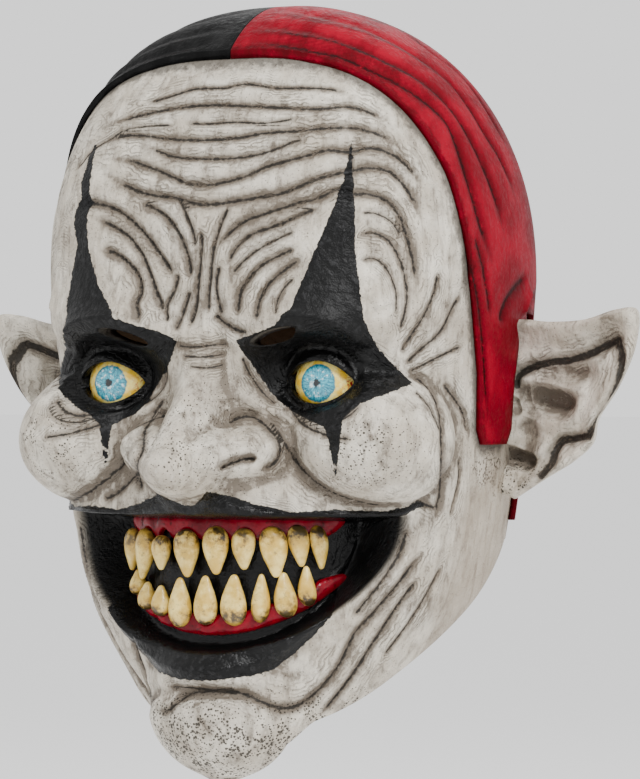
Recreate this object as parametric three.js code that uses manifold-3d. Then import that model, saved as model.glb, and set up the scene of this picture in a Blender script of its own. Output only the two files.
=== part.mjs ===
// A full-head jester mask of cast latex, drawn in millimetres with +Z up and the face looking along -Y.
// The origin is the inside of the crown, where the mask bears on the wearer's head.
// The head is a round height field: at each level the surface is a distance out from the upright axis.
import * as THREE from "three";
import { mergeVertices } from "three/addons/utils/BufferGeometryUtils.js";
import Module from "manifold-3d";

const wasm = await Module();
wasm.setup();

// Head
const HEAD_HALF_WIDTH = 91;
const FOREHEAD_FRONT = 80;
const HEAD_BACK = 108;
const DOME_HEIGHT = 108; // crown to the widest level
const FACE_DROP = 197; // widest level to the bottom of the chin
const LATEX = 2.6; // face wall
const CAP_LATEX = 2.4; // cap wall
const SEAM_GAP = 0.3; // between pieces that are glued together
const HALF = 0.5;

// Rim: level at the nape, then a straight run forward and down to the chin
const NAPE_DROP = 213;
const RIM_BEND_BACK = 38;
const CHIN_RIM_FRONT = 60;
const CHIN_RIM_DROP = 290;

// Eyes
const EYE_SPACING = 92;
const EYE_DROP = 150;
const EYE_CENTRE_FRONT = 55;
const EYE_RADIUS = 15;
const EYE_HALF_ANGLE = 62; // degrees of the ball that are made
const LID_WALL = 3.4;
const LID_BLEND = 0.015; // share of FACE_DROP
const LID_OPENING = { width: 27, height: 16 };
const VISION_SLIT = { across: 33, drop: 132, width: 22, height: 5, slant: 14 };

// Mouth, gums and teeth
const MOUTH_DROP = 197;
const LIP_OUTER = { halfWidth: 0.868 * HEAD_HALF_WIDTH, height: 68, curve: 1.7 };
const LIP_INNER = { halfWidth: 57, height: 50, curve: 2.3, below: 5.5 }; // across the front of the teeth
const LIP_LIFT = 3.5;
const GUM_ARCH = { halfWidth: 58, front: 69, curve: 2.2 };
const GUM_DEPTH = 5.5;
const GUM_HALF_ANGLE = 46; // where each gum ends, from straight ahead
const UPPER_GUM = { drop: 201, height: 8, rise: 0 };
const LOWER_GUM = { drop: 241.5, height: 11, rise: 22 }; // rise is how much higher its ends lie
const TOOTH_WIDTH = 10;
const TOOTH_DEPTH = 7.4;

// Ears
const EAR_ROOT = 80;
const EAR_SPAN = 66;
const EAR_LOBE_DROP = 196;
const EAR_HEIGHT = 75;
const EAR_BACK = 22;
const EAR_WALL = 5;
const EAR_LEAN = -12; // how far the rim lies behind the root; below nought, in front of it

// Sections below the dome: down is a share of FACE_DROP, side of HEAD_HALF_WIDTH, front of
// FOREHEAD_FRONT and back of HEAD_BACK; corner is the exponent of the front's rounded corners.
const SECTIONS = [
  { down: 0.0, side: 1.0, front: 1.0, back: 1.0, corner: 3.3 },
  { down: 0.21, side: 0.965, front: 0.95, back: 0.98, corner: 3.2 },
  { down: 0.33, side: 0.95, front: 0.92, back: 0.94, corner: 3.2 },
  { down: 0.47, side: 0.925, front: 0.97, back: 0.88, corner: 2.8 },
  { down: 0.58, side: 0.885, front: 0.97, back: 0.84, corner: 2.65 },
  { down: 0.67, side: 0.825, front: 0.94, back: 0.8, corner: 2.6 },
  { down: 0.78, side: 0.69, front: 0.88, back: 0.72, corner: 2.5 },
  { down: 0.88, side: 0.54, front: 0.8, back: 0.6, corner: 2.3 },
  { down: 0.96, side: 0.28, front: 0.6, back: 0.4, corner: 2.1 },
  { down: 1.0, side: 0.02, front: 0.05, back: 0.05, corner: 2.0 },
];
const MISS = 3; // how fast a swelling or a hollow loses hold beside itself
const BACK_CORNER = 2.15;
const DOME_CURVE = { front: 2.25, back: 2.2 }; // 2 is an ellipse, more is fuller

// Swellings and hollows, as ellipsoids blended into the head. across and wide are shares of
// HEAD_HALF_WIDTH, ahead and deep of FOREHEAD_FRONT, down and tall of FACE_DROP. soft is the
// blend, a share of FACE_DROP, and tilt turns the outer end up, in degrees.
const SWELLINGS = [
  {
    name: "brow",
    across: 0.42, ahead: 0.69, down: 0.085,
    wide: 0.4, deep: 0.35, tall: 0.08,
    tilt: 6, soft: 0.081,
  },
  {
    name: "cheek",
    across: 0.68, ahead: 0.66, down: 0.32,
    wide: 0.34, deep: 0.38, tall: 0.13,
    tilt: -8, soft: 0.07,
  },
  {
    name: "muzzle",
    across: 0, ahead: 0.79, down: 0.425,
    wide: 0.45, deep: 0.28, tall: 0.07,
    tilt: 0, soft: 0.041,
  },
  {
    name: "chin",
    across: 0, ahead: 0.67, down: 0.85,
    wide: 0.365, deep: 0.375, tall: 0.15,
    tilt: 0, soft: 0.046,
  },
];
const HOLLOWS = [
  {
    name: "socket",
    across: 0.49, ahead: 1.12, down: 0.195,
    wide: 0.35, deep: 0.36, tall: 0.082,
    tilt: 5, soft: 0.036,
  },
];

// The nose is a ridge from the brow to the lip, with a parabola for its section at each level: down is
// a share of FACE_DROP, ahead of FOREHEAD_FRONT and half, its half width near the front, of HEAD_HALF_WIDTH.
const NOSE = [
  { place: "root", down: 0.059, ahead: 0.92, half: 0.12 },
  { place: "between_the_brows", down: 0.1, ahead: 0.945, half: 0.135 },
  { place: "between_the_eyes", down: 0.1406, ahead: 0.985, half: 0.145 },
  { place: "bridge", down: 0.191, ahead: 1.045, half: 0.155 },
  { place: "under_the_bridge", down: 0.242, ahead: 1.13, half: 0.165 },
  { place: "middle", down: 0.293, ahead: 1.235, half: 0.175 },
  { place: "ball_top", down: 0.335, ahead: 1.335, half: 0.185 },
  { place: "ball", down: 0.37, ahead: 1.4, half: 0.19 },
  { place: "ball_low", down: 0.4, ahead: 1.385, half: 0.185 },
  { place: "underside", down: 0.425, ahead: 1.28, half: 0.17 },
  { place: "column", down: 0.447, ahead: 1.1, half: 0.145 },
  { place: "foot", down: 0.477, ahead: 0.96, half: 0.13 },
  { place: "lip", down: 0.54, ahead: 0.8, half: 0.12 },
];
const NOSE_FLARE = 1.2;
const NOSE_SOFT = 0.046; // its blend with the face, a share of FACE_DROP

// Low rounded mounds, or dips where rise is below nought: across and wide are shares of HEAD_HALF_WIDTH,
// down and tall of FACE_DROP and rise of FOREHEAD_FRONT; power is how fast the edge falls away.
const MOUNDS = [
  { name: "nose_ball", across: 0, down: 0.368, wide: 0.16, tall: 0.065, rise: 0.0375, power: 1.5 },
  { name: "nostril_wing", across: 0.25, down: 0.34, wide: 0.17, tall: 0.066, rise: 0.17, power: 1.2 },
  { name: "chin_groove", across: 0, down: 0.822, wide: 0.42, tall: 0.03, rise: -0.05, power: 1.5 },
];

// The cap's edge seen from the side: back is a share of HEAD_BACK, behind the axis, and down of the
// mask's height.
const CAP_EDGE = [
  { place: "hairline", back: -0.5, down: 0.083 },
  { place: "temple_top", back: -0.42, down: 0.145 },
  { place: "temple", back: -0.325, down: 0.226 },
  { place: "above_ear", back: -0.24, down: 0.357 },
  { place: "tab_front", back: -0.13, down: 0.479 },
  { place: "tab_front_low", back: -0.111, down: 0.551 },
  { place: "tab_corner", back: -0.074, down: 0.57 },
  { place: "tab_heel", back: 0.12, down: 0.57 },
  { place: "tab_back_low", back: 0.167, down: 0.551 },
  { place: "tab_back", back: 0.176, down: 0.485 },
  { place: "ear_top_front", back: 0.208, down: 0.43 },
  { place: "ear_top", back: 0.306, down: 0.395 },
  { place: "ear_top_back", back: 0.437, down: 0.4 },
  { place: "behind_ear", back: 0.481, down: 0.475 },
  { place: "behind_lobe", back: 0.437, down: 0.574 },
  { place: "hem_front", back: 0.361, down: 0.672 },
];
// Where the face's wall ends under the cap, in the same shares.
const SKULL_OPENING = [
  { place: "front", back: -0.317, down: 0.08 },
  { place: "front_temple", back: -0.24, down: 0.165 },
  { place: "side_temple", back: -0.197, down: 0.26 },
  { place: "over_ear_front", back: -0.109, down: 0.34 },
  { place: "over_ear", back: 0.579, down: 0.34 },
  { place: "nape", back: 0.601, down: 0.632 },
];

// The ear's outline from the front: out is a share of EAR_SPAN, up of EAR_HEIGHT.
const EAR_OUTLINE = [
  { place: "lobe", out: 0.14, up: 0.0 },
  { place: "lobe_side", out: 0.36, up: 0.11 },
  { place: "lower_rim", out: 0.55, up: 0.2 },
  { place: "notch_below", out: 0.69, up: 0.3 },
  { place: "notch", out: 0.73, up: 0.43 },
  { place: "outer_rim", out: 0.87, up: 0.6 },
  { place: "outer_top", out: 0.98, up: 0.8 },
  { place: "tip", out: 1.0, up: 0.99 },
  { place: "tip_inner", out: 0.86, up: 1.0 },
  { place: "top_dip", out: 0.64, up: 0.95 },
  { place: "top", out: 0.4, up: 0.94 },
  { place: "top_root", out: 0.13, up: 0.95 },
  { place: "root_top", out: -0.08, up: 0.86 },
  { place: "root", out: -0.14, up: 0.5 },
  { place: "root_low", out: -0.08, up: 0.1 },
];
const EAR_BOWL = { out: 0.3, up: 0.5 };
// The ear's front from its bowl to its rim: at is the share of the way, deep how far back, as a
// share of EAR_WALL. EAR_RIM is how far back its outline lies.
const EAR_RIM = 0.3;
const EAR_PROFILE = [
  { at: 0, deep: 1.4 },
  { at: 0.3, deep: 1.2 },
  { at: 0.52, deep: 0 },
  { at: 0.74, deep: 0.4 },
  { at: 0.9, deep: -0.7 },
];

// The teeth. across is a share of the gum arch's half width, with the wearer's left positive; root and
// point are shares of LIP_OUTER.height below the mouth's line; wide is a share of TOOTH_WIDTH; lean
// carries the point outward, in degrees.
const UPPER_TEETH = [
  { name: "left_1", across: 0.07, root: 0.12, point: 0.4, wide: 1.03, lean: 0 },
  { name: "left_2", across: 0.268, root: 0.13, point: 0.37, wide: 0.88, lean: 0 },
  { name: "left_3", across: 0.435, root: 0.12, point: 0.415, wide: 0.97, lean: -7 },
  { name: "left_4", across: 0.58, root: 0.11, point: 0.355, wide: 0.76, lean: -9 },
  { name: "left_5", across: 0.69, root: 0.115, point: 0.37, wide: 0.66, lean: -8 },
  { name: "right_1", across: -0.169, root: 0.14, point: 0.42, wide: 1.06, lean: 3 },
  { name: "right_2", across: -0.376, root: 0.18, point: 0.385, wide: 0.84, lean: -3 },
  { name: "right_3", across: -0.547, root: 0.145, point: 0.45, wide: 1.02, lean: -9 },
  { name: "right_4", across: -0.72, root: 0.15, point: 0.405, wide: 0.86, lean: -9 },
];
const LOWER_TEETH = [
  { name: "left_1", across: 0.2, root: 0.69, point: 0.395, wide: 0.94, lean: 0 },
  { name: "left_2", across: 0.37, root: 0.67, point: 0.39, wide: 0.7, lean: -2 },
  { name: "left_3", across: 0.54, root: 0.64, point: 0.38, wide: 0.8, lean: 6 },
  { name: "left_4", across: 0.655, root: 0.577, point: 0.345, wide: 0.66, lean: 4 },
  { name: "right_1", across: -0.012, root: 0.69, point: 0.405, wide: 0.88, lean: 0 },
  { name: "right_2", across: -0.215, root: 0.71, point: 0.42, wide: 0.9, lean: 0 },
  { name: "right_3", across: -0.385, root: 0.65, point: 0.47, wide: 0.78, lean: 0 },
  { name: "right_4", across: -0.535, root: 0.62, point: 0.455, wide: 0.72, lean: 4 },
  { name: "right_5", across: -0.66, root: 0.54, point: 0.39, wide: 0.62, lean: 4 },
];
// A tooth's outline from root to point: down is a share of its length, half of its half width.
const TOOTH_PROFILE = [
  { down: 0, half: 0 },
  { down: 0.07, half: 0.66 },
  { down: 0.36, half: 1 },
  { down: 0.68, half: 0.74 },
  { down: 0.93, half: 0.3 },
  { down: 1, half: 0 },
];

const FACE_GRID = { columns: 56, domeRows: 8, faceRows: 32 };
const HOLLOW_GRID = { columns: 44, domeRows: 6, faceRows: 24 };
// How far around it the hollow looks for the wall; rise is a share of FACE_DROP.
const HOLLOW_REACH = { turn: 0.08, rise: 0.04 };
// Where the face's forms begin above the widest level, and over what height, as shares of FACE_DROP.
const FACE_FADE = { above: 0.25, over: 0.2 };
const FLATNESS = 0.14; // how far facets may be evened out after the cuts
const FRONT_CROWDING = 0.42; // how much closer the grid's columns stand at the face
const TOOTH_SIDES = 8;
const FAR = 400; // beyond the mask, for cutters

const CROWN = -SEAM_GAP;
const FOOT = CROWN - DOME_HEIGHT;
const CHIN_BOTTOM = FOOT - FACE_DROP;
const MASK_HEIGHT = DOME_HEIGHT + FACE_DROP;
const radians = THREE.MathUtils.degToRad;
const { lerp, smoothstep, clamp } = THREE.MathUtils;

// Larger of two values, blended over the distance soft.
function softMax(a, b, soft) {
  const near = Math.max(soft - Math.abs(a - b), 0);
  return Math.max(a, b) + (near * near) / (4 * soft);
}

function softMin(a, b, soft) {
  return -softMax(-a, -b, soft);
}

// A table's columns at a place between its rows, on a smooth curve.
function between(rows, key, at, columns) {
  let i = 0;
  while (i < rows.length - 2 && rows[i + 1][key] < at) i++;
  const [a, b] = [rows[i], rows[i + 1]];
  const before = rows[Math.max(i - 1, 0)];
  const after = rows[Math.min(i + 2, rows.length - 1)];
  const t = clamp((at - a[key]) / (b[key] - a[key]), 0, 1);
  const found = {};
  for (const c of columns) {
    const span = b[key] - a[key];
    const enter = (span * (b[c] - before[c])) / (b[key] - before[key]);
    const leave = (span * (after[c] - a[c])) / (after[key] - a[key]);
    found[c] =
      a[c] * (2 * t ** 3 - 3 * t * t + 1) +
      enter * (t ** 3 - 2 * t * t + t) +
      b[c] * (3 * t * t - 2 * t ** 3) +
      leave * (t ** 3 - t * t);
  }
  return found;
}

// The plain head's section at a level: its half width, front, back and the front's corner exponent.
function sectionAt(z, inset = 0) {
  if (z >= FOOT) {
    const [side, front, back] = [HEAD_HALF_WIDTH, FOREHEAD_FRONT, HEAD_BACK].map((size) => size - inset);
    return { side, front, back, corner: SECTIONS[0].corner, rise: (z - FOOT) / (DOME_HEIGHT - inset) };
  }
  const row = between(SECTIONS, "down", (FOOT - z) / FACE_DROP, ["side", "front", "back", "corner"]);
  return {
    side: row.side * HEAD_HALF_WIDTH - inset,
    front: row.front * FOREHEAD_FRONT - inset,
    back: row.back * HEAD_BACK - inset,
    corner: row.corner,
    rise: 0,
  };
}

// Distance from the axis to a section's outline, at an angle from straight ahead.
function sectionRadius(section, angle) {
  const across = Math.abs(Math.sin(angle));
  const ahead = Math.cos(angle);
  const reach = ahead > 0 ? section.front : section.back;
  const corner = lerp(BACK_CORNER, section.corner, smoothstep(ahead, -0.3, 0.6));
  const sideShare = across / Math.max(section.side, 0.01);
  const aheadShare = Math.abs(ahead) / Math.max(reach, 0.01);
  const sum = sideShare ** corner + aheadShare ** corner;
  const fullness = lerp(DOME_CURVE.back, DOME_CURVE.front, smoothstep(ahead, -0.3, 0.5));
  const shrink = (1 - clamp(section.rise, 0, 1) ** fullness) ** (1 / fullness);
  return sum ** (-1 / corner) * shrink;
}

// Where the level ray at an angle enters and leaves an ellipsoid, on the side where it lies.
function crossing(form, side, angle, z) {
  const tilt = radians(form.tilt) * side;
  const size = [form.wide * HEAD_HALF_WIDTH, form.deep * FOREHEAD_FRONT, form.tall * FACE_DROP];
  const turned = (x, y, up) => [
    (x * Math.cos(tilt) + up * Math.sin(tilt)) / size[0],
    y / size[1],
    (up * Math.cos(tilt) - x * Math.sin(tilt)) / size[2],
  ];
  const start = turned(
    -side * form.across * HEAD_HALF_WIDTH,
    form.ahead * FOREHEAD_FRONT,
    z - (FOOT - form.down * FACE_DROP),
  );
  const ray = turned(Math.sin(angle), -Math.cos(angle), 0);
  const dot = (p, q) => p[0] * q[0] + p[1] * q[1] + p[2] * q[2];
  const a = dot(ray, ray);
  const middle = -dot(start, ray) / a;
  const room = middle * middle - (dot(start, start) - 1) / a;
  const half = room > 0 ? Math.sqrt(room) : -MISS * Math.sqrt(-room);
  return { enter: middle - half, leave: middle + half };
}

function blendForms(radius, forms, angle, z) {
  for (const form of forms) {
    for (const side of form.across ? [1, -1] : [1]) {
      const { enter, leave } = crossing(form, side, angle, z);
      if (forms === HOLLOWS) radius = enter > 0 ? softMin(radius, enter, form.soft * FACE_DROP) : radius;
      else radius = softMax(radius, leave, form.soft * FACE_DROP);
    }
  }
  return radius;
}

// The head's outline with the nose, and then with the mounds and dips.
function withNose(radius, angle, z) {
  const { ahead, half } = between(NOSE, "down", (FOOT - z) / FACE_DROP, ["ahead", "half"]);
  const facing = Math.max(Math.cos(angle), 0.05);
  const steep = (NOSE_FLARE / (half * HEAD_HALF_WIDTH)) * Math.sin(angle) ** 2;
  const reach = ahead * FOREHEAD_FRONT;
  const ridge = (2 * reach) / (facing + Math.sqrt(facing ** 2 + 4 * steep * reach));
  return softMax(radius, ridge, NOSE_SOFT * FACE_DROP);
}

function withMounds(radius, angle, z) {
  if (Math.cos(angle) <= 0) return radius;
  for (const { across, down, wide, tall, rise, power } of MOUNDS) {
    for (const side of across ? [1, -1] : [1]) {
      const x = (radius * Math.sin(angle)) / HEAD_HALF_WIDTH - side * across;
      const up = (FOOT - z) / FACE_DROP - down;
      const near = Math.max(1 - (x / wide) ** 2 - (up / tall) ** 2, 0);
      radius += rise * FOREHEAD_FRONT * near ** power;
    }
  }
  return radius;
}

// How far a point of the face lies inside the half oval of the lips or of the mouth, in millimetres.
function insideLips(lips, x, z, top) {
  const fall = Math.max((top - z) / lips.height, 0);
  const size = ((Math.abs(x) / lips.halfWidth) ** lips.curve + fall ** lips.curve) ** (1 / lips.curve);
  return Math.min((1 - size) * lips.height, top - z);
}

function archRadius(angle, grow = 0) {
  const side = GUM_ARCH.halfWidth + grow;
  const front = GUM_ARCH.front + grow;
  const ahead = Math.max(Math.cos(angle), 0);
  const sum = (Math.abs(Math.sin(angle)) / side) ** GUM_ARCH.curve + (ahead / front) ** GUM_ARCH.curve;
  return sum ** (-1 / GUM_ARCH.curve);
}

// A point of the arch moved out, at a share of its half width, and the turn that faces it outward.
function archPoint(across, out) {
  const { curve } = GUM_ARCH;
  const side = GUM_ARCH.halfWidth + out;
  const front = GUM_ARCH.front + out;
  const x = across * GUM_ARCH.halfWidth;
  const share = Math.abs(x) / side;
  const y = front * (1 - share ** curve) ** (1 / curve);
  const turn = Math.atan2(share ** (curve - 1) / side, (y / front) ** (curve - 1) / front);
  return { x, y: -y, turn: turn * Math.sign(x) };
}

function lidForm() {
  return {
    across: EYE_SPACING / 2 / HEAD_HALF_WIDTH,
    ahead: EYE_CENTRE_FRONT / FOREHEAD_FRONT,
    down: (FOOT + EYE_DROP) / FACE_DROP,
    wide: (EYE_RADIUS + LID_WALL) / HEAD_HALF_WIDTH,
    deep: (EYE_RADIUS + LID_WALL) / FOREHEAD_FRONT,
    tall: (EYE_RADIUS + LID_WALL) / FACE_DROP,
    tilt: 0,
    soft: LID_BLEND,
  };
}
const LIDS = [lidForm()];

// The face's outer surface: distance from the axis at an angle from straight ahead and a level.
function headRadius(angle, z) {
  const plain = sectionRadius(sectionAt(z), angle);
  const below = (FOOT - z) / FACE_DROP + FACE_FADE.above;
  const faceward = smoothstep(Math.cos(angle), -0.05, 0.25) * smoothstep(below, 0, FACE_FADE.over);
  if (faceward === 0) return plain;
  let radius = plain;
  radius = blendForms(radius, SWELLINGS, angle, z);
  radius = withMounds(withNose(radius, angle, z), angle, z);
  radius = blendForms(radius, HOLLOWS, angle, z);
  radius = blendForms(radius, LIDS, angle, z);
  const x = radius * Math.sin(angle);
  const lips = smoothstep(insideLips(LIP_OUTER, x, z, -MOUTH_DROP), -0.3 * LIP_LIFT, 1.4 * LIP_LIFT);
  radius += LIP_LIFT * lips;
  const toothLine = archRadius(angle, TOOTH_DEPTH) * Math.sin(angle);
  const inMouth = insideLips(LIP_INNER, toothLine, z, -MOUTH_DROP - LIP_INNER.below);
  const mouth = smoothstep(inMouth, -0.6 * LIP_LIFT, 0.4 * LIP_LIFT);
  radius = lerp(radius, Math.min(radius, archRadius(angle)), mouth);
  return lerp(plain, radius, faceward);
}

// The inside of the wall: the least outer radius close by, less the wall.
function hollowRadius(angle, z) {
  if (z >= FOOT) return Math.max(sectionRadius(sectionAt(z, LATEX), angle), 0);
  let least = Infinity;
  for (let i = -2; i <= 2; i++) {
    for (let j = -2; j <= 2; j++) {
      const turn = i * HOLLOW_REACH.turn * HALF;
      const rise = j * HOLLOW_REACH.rise * FACE_DROP * HALF;
      least = Math.min(least, headRadius(angle + turn, z + rise));
    }
  }
  return Math.max(least - LATEX, 1);
}

function pointAt(radius, angle, z) {
  return new THREE.Vector3(radius * Math.sin(angle), -radius * Math.cos(angle), z);
}

function columnAngle(share) {
  const turn = 2 * share - 1;
  return Math.PI * (turn - (FRONT_CROWDING * Math.sin(Math.PI * turn)) / Math.PI);
}

function levels(grid, top, bottom) {
  const found = [];
  for (let i = 1; i <= grid.domeRows; i++) {
    found.push(FOOT + (top - FOOT) * Math.cos((Math.PI / 2) * (i / grid.domeRows)));
  }
  for (let i = 1; i < grid.faceRows; i++) {
    const share = i / grid.faceRows;
    found.push(lerp(FOOT, bottom, 1 - (1 - share) ** 1.16));
  }
  return found;
}

// A closed skin through rings of points, capped by one point at each end.
function skinOf(rings, first, last) {
  const points = [first, ...rings.flat(), last];
  const wide = rings[0].length;
  const index = [];
  const at = (row, column) => 1 + row * wide + (column % wide);
  for (let c = 0; c < wide; c++) {
    index.push(0, at(0, c), at(0, c + 1));
    for (let r = 0; r + 1 < rings.length; r++) {
      index.push(at(r, c), at(r + 1, c), at(r, c + 1));
      index.push(at(r, c + 1), at(r + 1, c), at(r + 1, c + 1));
    }
    index.push(at(rings.length - 1, c), points.length - 1, at(rings.length - 1, c + 1));
  }
  return new THREE.BufferGeometry().setFromPoints(points).setIndex(index);
}

function headSkin(grid, radiusAt, top, bottom) {
  const rings = levels(grid, top, bottom).map((z) =>
    Array.from({ length: grid.columns }, (_, i) => {
      const angle = columnAngle(i / grid.columns);
      return pointAt(radiusAt(angle, z), angle, z);
    }),
  );
  return skinOf(rings, new THREE.Vector3(0, 0, top), new THREE.Vector3(0, 0, bottom));
}

// A surface without seams: points that coincide are one point.
function seamless(geometry) {
  const bare = geometry.clone();
  bare.deleteAttribute("normal");
  bare.deleteAttribute("uv");
  return mergeVertices(bare, 1e-4);
}

// The same skin moved out along its own normals.
function grown(skin, distance) {
  const moved = seamless(skin);
  moved.computeVertexNormals();
  const { position, normal } = moved.attributes;
  for (let i = 0; i < position.count; i++) {
    position.setXYZ(
      i,
      position.getX(i) + distance * normal.getX(i),
      position.getY(i) + distance * normal.getY(i),
      position.getZ(i) + distance * normal.getZ(i),
    );
  }
  return moved;
}

function toSolid(geometry) {
  const merged = seamless(geometry);
  return new wasm.Manifold(
    new wasm.Mesh({
      numProp: 3,
      vertProperties: new Float32Array(merged.attributes.position.array),
      triVerts: new Uint32Array(merged.index.array),
    }),
  );
}

function toGeometry(solid) {
  const mesh = solid.getMesh();
  const geometry = new THREE.BufferGeometry();
  geometry.setAttribute("position", new THREE.BufferAttribute(new Float32Array(mesh.vertProperties), 3));
  geometry.setIndex(new THREE.BufferAttribute(new Uint32Array(mesh.triVerts), 1));
  return geometry;
}

// The body that holds most of a solid, evened out and without the crumbs left by its cuts.
function mainBody(solid) {
  const whole = solid.simplify(FLATNESS);
  return whole.decompose().reduce((most, body) => (body.volume() > most.volume() ? body : most));
}

// A prism across the whole mask, from an outline of [y, z] points seen from the side.
function sidePrism(outline) {
  const shape = new THREE.Shape(outline.map(([y, z]) => new THREE.Vector2(y, z)));
  const prism = new THREE.ExtrudeGeometry(shape, { depth: 2 * FAR, bevelEnabled: false, steps: 1 });
  prism.translate(0, 0, -FAR);
  prism.applyMatrix4(new THREE.Matrix4().set(0, 0, 1, 0, 1, 0, 0, 0, 0, 1, 0, 0, 0, 0, 0, 1));
  return toSolid(prism);
}

// A prism that runs back from in front of the face, from an outline of [x, z] points.
function frontPrism(outline, near, far) {
  const shape = new THREE.Shape(outline.map(([x, z]) => new THREE.Vector2(x, z)));
  const prism = new THREE.ExtrudeGeometry(shape, { depth: far - near, bevelEnabled: false, steps: 1 });
  prism.rotateX(Math.PI / 2);
  prism.translate(0, far, 0);
  return toSolid(prism);
}

function edgePoints(rows) {
  return rows.map(({ back, down }) => [back * HEAD_BACK, CROWN - down * MASK_HEIGHT]);
}

function rimCutter() {
  return sidePrism([
    [FAR, -NAPE_DROP],
    [RIM_BEND_BACK, -NAPE_DROP],
    [-CHIN_RIM_FRONT, -CHIN_RIM_DROP],
    [-CHIN_RIM_FRONT, -FAR],
    [FAR, -FAR],
  ]);
}

function capZone() {
  const edge = edgePoints(CAP_EDGE);
  const hem = edge[edge.length - 1][1];
  return sidePrism([[edge[0][0], FAR], ...edge, [FAR, hem], [FAR, FAR]]);
}

function skullOpening() {
  const edge = edgePoints(SKULL_OPENING);
  const nape = edge[edge.length - 1][1];
  return sidePrism([[edge[0][0], FAR], ...edge, [FAR, nape], [FAR, FAR]]);
}

function eyeCentre(side) {
  return new THREE.Vector3((side * EYE_SPACING) / 2, -EYE_CENTRE_FRONT, -EYE_DROP);
}

// The front of an eyeball, closed by a flat back, looking along -Y from its centre.
function eyeFront(radius, backPlane, sides, rings) {
  const most = Math.acos(backPlane / radius);
  const profile = [new THREE.Vector2(0, backPlane)];
  for (let i = 0; i <= rings; i++) {
    const angle = most * (1 - i / rings);
    profile.push(new THREE.Vector2(i === rings ? 0 : radius * Math.sin(angle), radius * Math.cos(angle)));
  }
  return new THREE.LatheGeometry(profile, sides).rotateX(Math.PI);
}

function lidOpening(side) {
  const centre = eyeCentre(side);
  const outline = [];
  const steps = 16;
  for (let i = 0; i < steps; i++) {
    const turn = (2 * Math.PI * i) / steps;
    const squeeze = Math.sin(turn) * Math.abs(Math.sin(turn)) ** 0.3;
    outline.push([
      centre.x + LID_OPENING.width * HALF * Math.cos(turn),
      centre.z + LID_OPENING.height * HALF * squeeze,
    ]);
  }
  return frontPrism(outline, -FAR, centre.y - EYE_RADIUS * HALF);
}

function visionSlit(side) {
  const { across, drop, width, height, slant } = VISION_SLIT;
  const outline = [];
  const steps = 16;
  const tilt = radians(slant) * side;
  for (let i = 0; i < steps; i++) {
    const turn = (2 * Math.PI * i) / steps;
    const x = width * HALF * Math.cos(turn);
    const z = height * HALF * Math.sin(turn);
    outline.push([
      side * across + x * Math.cos(tilt) - z * Math.sin(tilt),
      -drop + x * Math.sin(tilt) + z * Math.cos(tilt),
    ]);
  }
  return frontPrism(outline, -FAR, -LATEX);
}

// A tooth stands on its point or its root along Z, root at the origin, facing -Y.
function toothSolid(row) {
  const length = (row.point - row.root) * LIP_OUTER.height;
  const half = (row.wide * TOOTH_WIDTH) / 2;
  const profile = TOOTH_PROFILE.map((ring) => new THREE.Vector2(ring.half * half, -ring.down * length));
  if (length > 0) profile.reverse();
  const tooth = new THREE.LatheGeometry(profile, TOOTH_SIDES);
  return tooth.scale(1, 1, Math.min(TOOTH_DEPTH / (2 * half), 1)).rotateX(Math.PI / 2);
}

// A tooth's place: in front of the mouth's lining, turned to face outward.
function placeTooth(mesh, row) {
  const out = SEAM_GAP + TOOTH_DEPTH * HALF;
  const { x, y, turn } = archPoint(row.across, out);
  const lean = radians(row.lean) * Math.sign(row.across) * Math.sign(row.point - row.root);
  mesh.position.set(x, y, -MOUTH_DROP - row.root * LIP_OUTER.height);
  mesh.rotation.set(0, lean, turn, "ZYX");
}

// A gum: a rounded bar that follows the arch in front of the mouth's lining.
function gumBlock({ drop, height, rise }) {
  const steps = 14;
  const corners = [
    [SEAM_GAP, 0],
    [GUM_DEPTH * 0.7, 0.05],
    [GUM_DEPTH, 0.4],
    [GUM_DEPTH * 0.8, 1],
    [SEAM_GAP, 1],
  ];
  const rings = [];
  for (let i = 0; i <= steps; i++) {
    const share = lerp(-1, 1, i / steps);
    const angle = share * radians(GUM_HALF_ANGLE);
    const top = rise * share * share - drop;
    rings.push(corners.map(([out, down]) => pointAt(archRadius(angle, out), angle, top - down * height)));
  }
  const middle = (ring) => ring.reduce((sum, p) => sum.add(p), new THREE.Vector3()).divideScalar(ring.length);
  return flipped(skinOf(rings, middle(rings[0]), middle(rings[steps])));
}

// An ear leaf: rings from the bowl to the outline, in front and behind.
function earBlock(side) {
  const outline = new THREE.CatmullRomCurve3(
    EAR_OUTLINE.map(({ out, up }) => new THREE.Vector3(out * EAR_SPAN, 0, up * EAR_HEIGHT)),
    true,
    "centripetal",
  );
  const sides = 24;
  const bowl = new THREE.Vector3(EAR_BOWL.out * EAR_SPAN, 0, EAR_BOWL.up * EAR_HEIGHT);
  const leaf = (share, deep) =>
    Array.from({ length: sides }, (_, i) => {
      const p = outline.getPoint(i / sides).lerp(bowl, 1 - share);
      const lean = (EAR_LEAN * p.x) / EAR_SPAN;
      const y = EAR_BACK + lean + deep * EAR_WALL;
      return new THREE.Vector3(side * (EAR_ROOT + p.x), y, p.z - EAR_LOBE_DROP);
    });
  const front = EAR_PROFILE.slice(1).map(({ at, deep }) => leaf(at, deep));
  const rim = leaf(1, EAR_RIM);
  const behind = EAR_PROFILE.slice(1)
    .reverse()
    .map(({ at, deep }) => leaf(at, deep + 1));
  const bowlDeep = EAR_PROFILE[0].deep;
  const tip = (deep) => leaf(0, deep)[0];
  const skin = skinOf([...front, rim, ...behind], tip(bowlDeep), tip(bowlDeep + 1));
  return side > 0 ? skin : flipped(skin);
}

function flipped(skin) {
  const turned = skin.clone();
  const { array } = turned.index;
  for (let i = 0; i < array.length; i += 3) [array[i + 1], array[i + 2]] = [array[i + 2], array[i + 1]];
  return turned;
}

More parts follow.
